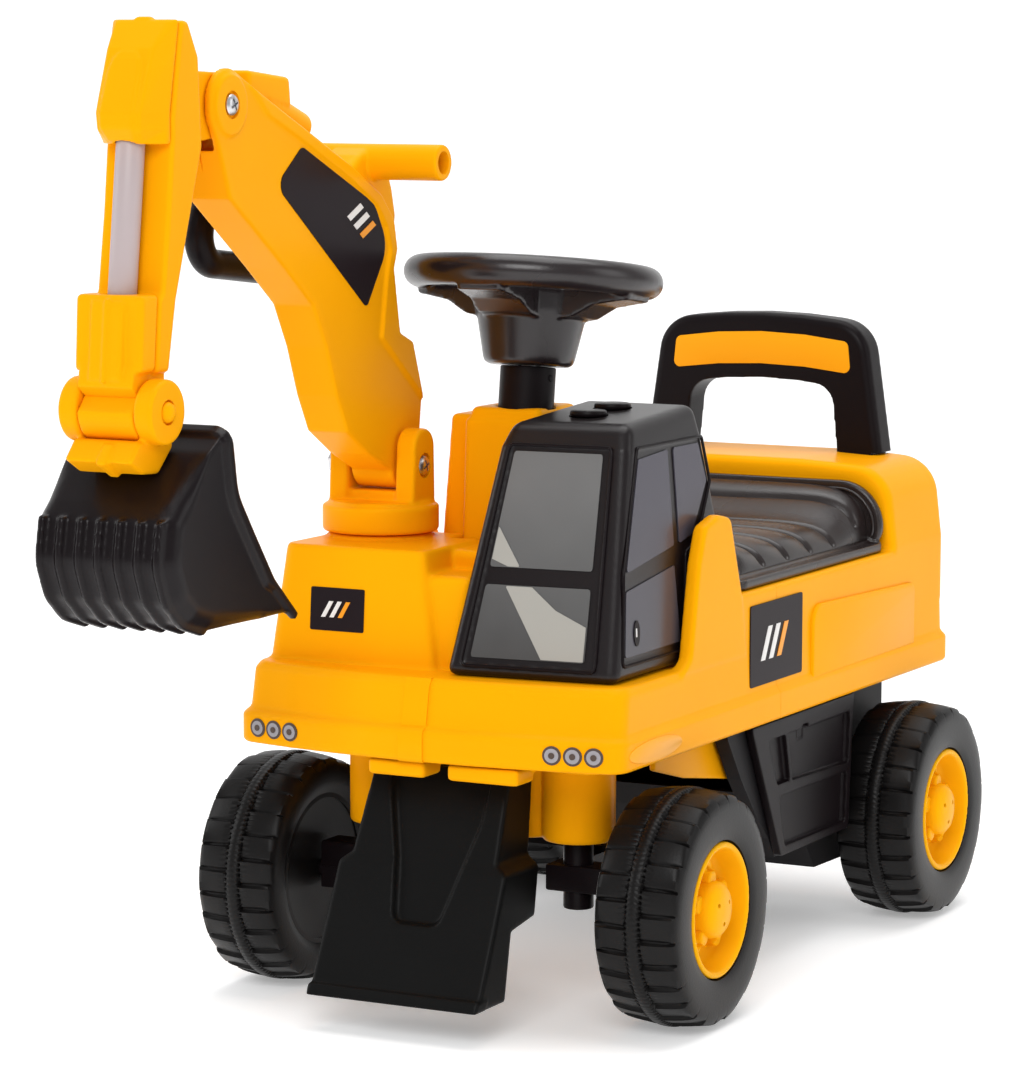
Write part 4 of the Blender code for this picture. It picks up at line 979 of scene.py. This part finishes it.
def turret():
    ear = rounded([(FOOT[0] - 14.5, 270), (FOOT[0] - 11.5, 320), (FOOT[0] + 11.5, 320), (FOOT[0] + 13, 270)],
                  [0, 11, 11, 0], 8)
    solids = [turret_pin(261.5, 277, 33.0, 96, 1.8),
              turret_pin(270, 279, 30.0, 96, 1.5),
              soft(arm_block(18, (-164, -141), (275, 284.8)), 1.5, 2),
              soft(arm_block(18, (-138, -131), (275, 290)), 1.5, 2),
              turret_pin(245, 265, 14.0)]
    for low, high in ((15.2, 27.5), (-27.5, -15.2)):
        solids.append(soft(prism("X", ear, ARM_X + low, ARM_X + high), 1.8, 3, 50))
    cuts = [arm_pin(FOOT, -40, 40, PIN_HOLE), turret_pin(240, 268, 10)]
    late = [arm_pin(FOOT, 25.2, 40, 7.2)]
    finish(built("turret_ring", solids, cuts, 1.0, late=late), "turret", YELLOW, ["turret"], 50)


BOOM_ELBOW = arc(ELBOW, 19.0, 15, 75, 140)
BOOM_LOWER = [(-349, 484), (-337, 454), (-280, 415), (-251, 394), (-237, 370), (-226, 343), (-214, 322),
              (-190, 308)]
BOOM_FOOT = arc(FOOT, 13.5, 13, 190, 140)
BOOM_BACK = [(-131, 318), (-129, 334), (-142, 368), (-157, 374), (-164, 410), (-160, 421), (-164, 438),
             (-178, 452), (-210, 468), (-265, 491)]


def boom():
    outline = BOOM_ELBOW + BOOM_LOWER + BOOM_FOOT + BOOM_BACK
    base = soft(arm_slice(outline, 13.2), 1.4, 3, 50)
    ledge = BOOM_BACK[::-1][:9]
    lowered = [(-178, 372), (-172, 408), (-168, 421), (-173, 434), (-184, 446), (-213, 461), (-267, 484),
               (-300, 497)]
    top_rim = ledge[::-1] + [(-318, 513)] + lowered[::-1]
    solids = [base, soft(arm_slice(top_rim, 15.0), 0.9, 2, 50)]
    solids.append(arm_pin(ELBOW, -15.2, 15.2, 16.5, 64, 1.5))
    solids.append(soft(arm_slice([(-312, 508), (-311, 521), (-268, 517), (-266, 500)], 9), 2.5, 3))
    solids.append(bar((ARM_X, -290, 505), (ARM_X, -243, 489), 8.5, 40, 2.5))
    solids.append(arm_pin(T_BAR, -55, 55, 10.0, 56, 0.8))
    web = [(-214, 464), (-178, 448), (-163, 430), (-158, 427), (-156, 440), (-160, 455), (-168, 472),
           (-181, 480), (-198, 474)]
    solids.append(soft(arm_slice(web, 12), 4.0, 4, 40))
    cuts = [arm_pin(point, -40, 40, PIN_HOLE) for point in (FOOT, ELBOW)]
    cuts.append(arm_slice(arc(ELBOW, 25.0, 40, 0, 351), 9.3))
    late = [arm_pin(T_BAR, side * 25, side * 60, 6.4) for side in (-1, 1)]
    late.append(arm_pin(ELBOW, 13.4, 20, 7.4))
    crease = [(-352, 492), (-340, 452), (-282, 411), (-254, 390), (-240, 367), (-229, 340), (-217, 318),
              (-192, 303)]
    raised = [(y + 1.7, z + 1.9) for y, z in crease]
    late.append(arm_slice(crease + raised[::-1], 0.5))
    obj = built("boom_shell", solids, cuts, 0.95, late=late)
    finish(obj, "boom", YELLOW, ["boom_left_half", "boom_right_half", "t_bar"], 50)
    label = rounded([(-264, 480), (-291, 460), (-194, 390), (-170, 423), (-185, 447)], [5, 7, 3, 16, 20], 7)
    piece("boom_label", prism("X", label, ARM_X + 13.1, ARM_X + 13.8), "boom", LABEL)
    stripes("boom_label", (ARM_X + 13.85, -216, 441), (0, 0.81, -0.59), (0, 0.59, 0.81), (24, 14), (1, 0, 0),
            3, "boom")


def bolts():
    for name, point, right, body, start in (("boom_foot_bolt", FOOT, 25.4, "turret", -33.0),
                                            ("elbow_bolt", ELBOW, 13.6, "boom", -37.0)):
        head = [(right, 0), (right, 5.6), (right + 1.4, 5.6), (right + 2.6, 4.6), (right + 3.2, 2.6),
                (right + 3.3, 0)]
        solids = [arm_pin(point, start, right + 0.5, 4.0, 32),
                  turned(head, (ARM_X, *point), (1, 0, 0), 40)]
        cross = []
        for turn in (25, 115):
            c, s = math.cos(math.radians(turn)), math.sin(math.radians(turn))
            shape = [(-3.4, -0.6), (3.4, -0.6), (3.4, 0.6), (-3.4, 0.6)]
            outline = [(point[0] + a * c - b * s, point[1] + a * s + b * c) for a, b in shape]
            cross.append(prism("X", outline, ARM_X + right + 1.2, ARM_X + right + 6))
        finish(built(f"{name}_screw", solids, late=cross), body, STEEL, [name], 35)


# height, front face, half width of the front, start of the slanted cheeks, back
RAM_COVER = [(484.0, -417.5, 9.5, -409.0, -404.4), (491.0, -424.0, 12.5, -407.5, -404.4),
             (500.0, -424.6, 13.0, -406.5, -404.6), (532.0, -412.5, 13.5, -400.5, -398.2),
             (546.5, -400.5, 15.0, -398.0, -395.6)]
# height, half width, front, back
RAM_SHIELD = [(485, 8.5, -420.0, -412.0), (492, 10.0, -425.8, -414.0), (500, 10.3, -426.3, -414.0),
              (520, 10.0, -418.8, -410.0), (527, 8.2, -416.0, -408.0), (531, 5.0, -413.6, -407.0)]


def stick():
    """The stick with the dummy ram on its front."""
    side_view = [(-395, 546), (-388, 546), (-378, 528), (-375, 482), (-401, 405), (-408.5, 369), (-421, 369),
                 (-417.6, 406), (-414, 410), (-408, 450), (-404, 487), (-404, 497)]
    hollow = [(-370, 524), (-370, 410), (-394, 410), (-404, 420), (-400, 460), (-398, 494), (-391, 524)]
    obj = built("stick_shell", [soft(arm_slice(side_view, 20), 2.0, 3, 35)], [arm_slice(hollow, 16.5)])
    lug = arc(ELBOW, 17.0, 21, -100, 200) + [(-394, 522), (-402, 480)]
    neck = arc(WRIST, 16.1, 21, 180, 180) + [(-408, 372), (-410, 376), (-419, 376), (-421.3, 369.6)]
    for bm in (arm_slice(lug, 8.7), arm_slice(neck, 16.6)):
        combine(obj, bm, "UNION")
    top, bottom = (ARM_X, -411.4, 491), (ARM_X, -422.0, 402)
    for bm in [arm_pin(p, -40, 40, PIN_HOLE) for p in (ELBOW, WRIST)] + [bar(top, bottom, 7.8)]:
        combine(obj, bm, "DIFFERENCE")
    softened(obj, 1.0, 2)
    finish(obj, "stick", YELLOW, ["stick_body"], 50)
    piece("ram_rod", bar(top, bottom, 7.4, 56, 0.6), "stick", ROD, ["piston_rod"])
    rings = []
    for z, front, nose, shoulder, back in RAM_COVER:
        outline = [(-19.3, back), (-19.3, shoulder), (-nose, front), (nose, front), (19.3, shoulder),
                   (19.3, back)]
        rings.append([(ARM_X + x, y, z) for x, y in outline])
    body = soft(loft(rings), 1.6, 3, 24)
    shield = [[(ARM_X - half, front, z), (ARM_X + half, front, z), (ARM_X + half, back, z),
               (ARM_X - half, back, z)]
              for z, half, front, back in RAM_SHIELD]
    tab = soft(arm_block(5, (-400.2, -395.9), (540, 548)), 1.2, 2)
    way = bar((ARM_X, -411.4, 491.5), (ARM_X, -414.4, 466), 7.9, 48)
    cover = built("ram_cover", [body, soft(loft(shield), 1.0, 3, 30), tab], [way], 0.9)
    finish(cover, "stick", YELLOW, ["rod_cover"], 50)
    housing = [(-421.4, 370), (-417.8, 409), (-433.8, 409), (-436, 370)]
    case = soft(arm_slice(housing, 20), 2.4, 3, 40)
    apron = arm_slice([(-436.2, 374), (-438.6, 363), (-432, 357), (-420, 366), (-420, 374)], 16.4)
    rib = soft(arm_slice([(-430, 364), (-430, 407), (-435.8, 406), (-439.6, 366)], 10), 1.6, 3)
    seam = soft(arm_slice([(-430, 362), (-430, 408), (-436.6, 407), (-440.8, 365)], 1.2), 0.5, 2)
    way = bar((ARM_X, -416, 452), (ARM_X, -422.1, 401), 7.9, 48)
    finish(built("ram_housing", [case, apron, rib, seam], [way], 0.9), "stick", YELLOW, ["rod_housing"], 50)


def grip_lever():
    x = ARM_X - 35.0
    tilt = math.radians(-6)
    loop = []
    for a, b in rounded([(-40, -16), (40, -16), (40, 16), (-40, 16)], 15.5, 12):
        loop.append((x, -251 + a * math.cos(tilt) - b * math.sin(tilt), 430 + a * math.sin(tilt)
                     + b * math.cos(tilt)))
    arm = arc(ELBOW, 13.0, 15, 50, 180) + [(-292, 447), (-262, 439), (-262, 452)]
    solids = [hoop(loop, 8.0, 24), soft(prism("X", arm, x - 4.0, ARM_X - 22.0), 2.0, 3, 40)]
    cuts = [arm_pin(ELBOW, -55, 5, PIN_HOLE), arm_pin(ELBOW, -55, -29, 8.0)]
    finish(built("grip_loop", solids, cuts, 1.0), "stick", BLACK, ["grip_lever"], 50)


BUCKET_BACK = [(-388, 340), (-406, 329), (-434, 304), (-442, 296), (-446, 274), (-438, 255), (-424, 243),
               (-404, 237), (-350, 236), (-322, 238)]
BUCKET_EDGE = [(-345, 258), (-364, 283), (-380, 306), (-383, 328)]


def scoop(back, edge, half, radius):
    """The bucket's solid form: a profile pulled across, its back rounded off towards both sides."""
    outline = rounded(back + edge, [2, 22, 10, 8, 16, 14, 14, 20, 40, 0, 30, 20, 14, 5], 4)
    middle = Vector((-388, 288))
    levels = [(half - radius + radius * math.cos(a), radius * (1 - math.sin(a)))
              for a in (math.pi / 2 * k / 6 for k in range(7))]
    levels = [(-x, shrink) for x, shrink in levels] + [(x, shrink) for x, shrink in levels[::-1]]
    rings = []
    for x, shrink in levels:
        ring = []
        for point in outline:
            away = Vector(point) - middle
            share = ease(-(away.x + 0.35 * away.y), 0, 26) * ease(332 - point[1], 0, 20)
            if point[1] < 262:
                share = max(share, ease(-332 - point[0], 0, 30))
            ring.append((ARM_X + x, *(Vector(point) - away.normalized() * shrink * share)))
        rings.append(ring)
    return loft(rings)


def bucket():
    inside = [(-386, 335.5), (-405, 325), (-432, 301), (-439, 294), (-443, 274), (-435.5, 257), (-422.5, 246),
              (-404, 240), (-350, 239), (-322, 240)]
    solids = [soft(scoop(BUCKET_BACK, BUCKET_EDGE, 42.0, 11.0), 1.0, 2, 60)]
    spine = [Vector(p)
             for p in rounded([(-437, 300), (-442, 296), (-446, 274), (-438, 255), (-424, 243), (-404, 237),
                                         (-356, 236)], [0, 4, 18, 16, 16, 20, 0], 4)]
    for i in range(7):
        solids.append(rib_strip(ARM_X - 35.1 + 11.7 * i, spine))
    solids.append(rim_band())
    mouth = [(-374, 348), (-386, 337), (-381, 327), (-378, 306), (-362, 283), (-343, 258), (-320, 240.5),
             (-290, 240.5), (-290, 360)]
    cuts = [scoop(inside, BUCKET_EDGE, 39.0, 8.5), arm_slice(mouth, 39)]
    finish(built("bucket_shell", solids, cuts, 1.1), "bucket", BUCKET_BLACK, ["bucket"], 50)
    tongue = [(-437, 336), (-446, 326), (-433, 319), (-419.4, 318.2), (-405.5, 331), (-407, 335.4)]
    parts = [soft(arm_slice(tongue, 20), 1.5, 3, 30)]
    for low, high in ((17.0, 28.0), (-28.0, -17.0)):
        parts.append(arm_pin(WRIST, low, high, 16.7, 72, 1.4))
    parts.append(soft(prism("X", [(-440, 335), (-449, 325), (-434, 316.6), (-428, 330)], ARM_X, ARM_X + 6),
                      1.0, 2))
    cuts = [arm_pin(WRIST, -16.99, 16.99, 16.6, 72), arm_pin(WRIST, -40, 40, PIN_HOLE)]
    late = [arm_pin(WRIST, 25.5, 40, 6.5)]
    finish(built("bucket_clevis", parts, cuts, 0.9, late=late), "bucket", YELLOW, ["bucket_bracket"], 50)
    head = [(25.0, 0), (25.0, 5.4), (28.0, 5.3), (30.0, 4.2), (31.2, 2.2), (31.6, 0)]
    solids = [arm_pin(WRIST, -27.8, 25.4, 4.0, 32), turned(head, (ARM_X, *WRIST), (1, 0, 0), 40)]
    pin = built("bucket_pin_capped", solids)
    finish(pin, "bucket", YELLOW, ["bucket_pin"])


def rim_band():
    """The raised band round the bucket's mouth: up one side, over the top and down the other."""
    side = [Vector(p) for p in rounded([(-321, 237), (-345, 258), (-364, 283), (-381, 306), (-385.5, 333)],
                                       [0, 30, 40, 30, 0], 5)]
    half = 42.0
    path = []
    for point, ahead in headings(side):
        path.append((Vector((half, *point)), Vector((1, 0, 0)), Vector((0, -ahead.y, ahead.x))))
    over = Vector((0, -0.45, 0.89))
    behind = Vector((0, -0.88, -0.47))
    for i in range(1, 7):
        turn = math.pi / 2 * i / 6
        place = Vector((half - 7 + 7 * math.cos(turn), -385.5 - 2.5 * math.sin(turn), 333
                        + 7 * math.sin(turn)))
        out = Vector((math.cos(turn), 0, 0)) + over * math.sin(turn)
        path.append((place, out.normalized(), path[-1][2].lerp(behind, i / 6).normalized()))
    path += [(Vector((-p.x, p.y, p.z)), Vector((-n.x, n.y, n.z)), Vector((-b.x, b.y, b.z)))
             for p, n, b in path[::-1]]
    rings = []
    for i, (place, out, back) in enumerate(path):
        place = place + Vector((ARM_X, 0, 0))
        width = 8.2 * min(1.0, 0.55 + 0.075 * min(i, len(path) - 1 - i))
        rings.append([place - out * 2.6, place + out * 1.2, place + out * 2.2 + back * 1.2,
                      place + out * 2.2 + back * (width - 1.2), place + out * 1.0 + back * width,
                      place - out * 2.6 + back * width])
    return loft(rings)


def rib_strip(x, spine):
    """A rounded rib that follows the bucket's back."""
    rings = []
    last = len(spine) - 1
    for k, (point, ahead) in enumerate(headings(spine)):
        out = Vector((ahead.y, -ahead.x)) * -1
        if out.dot(point - Vector((-395, 285))) < 0:
            out = -out
        rise = -1.0 + 3.8 * min(1.0, k / 4, (last - k) / 4)
        low, high = point - out * 2.0, point + out * rise
        rings.append([(x - 2.5, low.x, low.y), (x + 2.5, low.x, low.y), (x + 1.7, high.x, high.y),
                      (x - 1.7, high.x, high.y)])
    return loft(rings)


# ---------------------------------------------------------------- CAD pieces that stay

KEPT = {
    INNER: ["chassis_tub", "rear_axle_carrier", "storage_bin", "battery_box", "battery_cover", "sound_module",
            "steering_crank", "tie_rod", "swing_retainer"],
    STEEL: ["boom_foot_nut", "elbow_nut", "rear_axle", "steering_shaft"],
}


def kept_pieces():
    for material, names in KEPT.items():
        for name in names:
            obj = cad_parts[name]
            obj.data.materials.clear()
            obj.data.materials.append(material)
            bevel = obj.modifiers.new("bevel", "BEVEL")
            bevel.width = 0.0005
            bevel.segments = 2
            bevel.limit_method = "ANGLE"
            bevel.angle_limit = math.radians(40)
            bevel.harden_normals = True


# ---------------------------------------------------------------- stage

def stage():
    outline = [(-4.0, 0.0), (2.2, 0.0)]
    outline += [(2.2 + 1.6 * math.sin(a), 1.6 - 1.6 * math.cos(a)) for a in turns(96)[1:25]]
    outline.append((3.8, 5.0))
    bm = bmesh.new()
    spin = Matrix.Rotation(math.radians(27.3), 3, "Z")
    rows = [[bm.verts.new(spin @ Vector((x, y, z - 0.0004))) for y, z in outline] for x in (-6.0, 6.0)]
    for i in range(len(outline) - 1):
        bm.faces.new((rows[0][i], rows[1][i], rows[1][i + 1], rows[0][i + 1]))
    mesh = bpy.data.meshes.new("floor")
    bm.to_mesh(mesh)
    bm.free()
    mesh.shade_smooth()
    floor = bpy.data.objects.new("floor", mesh)
    bpy.context.scene.collection.objects.link(floor)
    made, _, shader = new_material("floor_paper", (0.93, 0.93, 0.93), 0.8)
    shader.inputs["Specular IOR Level"].default_value = 0.1
    shader.inputs["Emission Color"].default_value = (1.0, 1.0, 1.0, 1.0)
    shader.inputs["Emission Strength"].default_value = 0.3
    mesh.materials.append(made)


def area_light(name, place, aim, size, power):
    light = bpy.data.lights.new(name, "AREA")
    light.shape = "RECTANGLE"
    light.size, light.size_y = size
    light.energy = power
    obj = bpy.data.objects.new(name, light)
    bpy.context.scene.collection.objects.link(obj)
    obj.location = place
    obj.rotation_euler = (Vector(aim) - Vector(place)).to_track_quat("-Z", "Y").to_euler()


def lighting():
    world = bpy.data.worlds.new("studio")
    bpy.context.scene.world = world
    world.use_nodes = True
    background = world.node_tree.nodes["Background"]
    background.inputs["Color"].default_value = (1.0, 1.0, 1.0, 1.0)
    background.inputs["Strength"].default_value = 0.42
    aim = (0.0, 0.0, 0.25)
    area_light("key", (0.9, -2.7, 2.0), aim, (1.8, 1.4), 46.0)
    area_light("side", (2.7, 0.6, 1.3), aim, (1.4, 1.8), 12.0)
    area_light("rim", (-2.4, -1.0, 1.2), aim, (1.2, 1.6), 16.0)
    area_light("top", (0.0, 0.4, 2.7), aim, (2.2, 2.2), 44.0)


def camera():
    """The camera stands as the one in the reference did, worked out from the wheels and the body."""
    lens = bpy.data.cameras.new("camera")
    lens.sensor_width = 36.0
    lens.lens = 135.2
    lens.clip_start = 0.05
    obj = bpy.data.objects.new("camera", lens)
    bpy.context.scene.collection.objects.link(obj)
    ahead = Vector((-0.45602, 0.88191, -0.11945)).normalized()
    right = Vector((0.88816, 0.45953, 0.00203)).normalized()
    up = right.cross(ahead).normalized()
    place = Vector((1.0428, -2.1504 + FRAME_SHIFT * MM, 0.5305))
    turn = Matrix((right, up, -ahead)).transposed().to_4x4()
    obj.matrix_world = Matrix.Translation(place) @ turn
    bpy.context.scene.camera = obj


def main():
    camera()
    lighting()
    stage()
    body_shells()
    lamps()
    reflectors()
    body_labels()
    front_carrier()
    blade()
    side_panel(1, "left")
    side_panel(-1, "right")
    console()
    cab()
    cab_windows()
    buttons()
    seat()
    rear_handle()
    for label, side, y, body in (("front_left", 1, -AXLE_Y, "wheel_front_left"),
                                 ("front_right", -1, -AXLE_Y, "wheel_front_right"),
                                 ("rear_left", 1, AXLE_Y, "wheel_rear_left"),
                                 ("rear_right", -1, AXLE_Y, "wheel_rear_right")):
        wheel(label, side, y, body)
    knuckle(1, "left")
    knuckle(-1, "right")
    steering()
    turret()
    boom()
    bolts()
    stick()
    grip_lever()
    bucket()
    kept_pieces()
    bpy.context.scene.view_settings.view_transform = "Standard"


main()
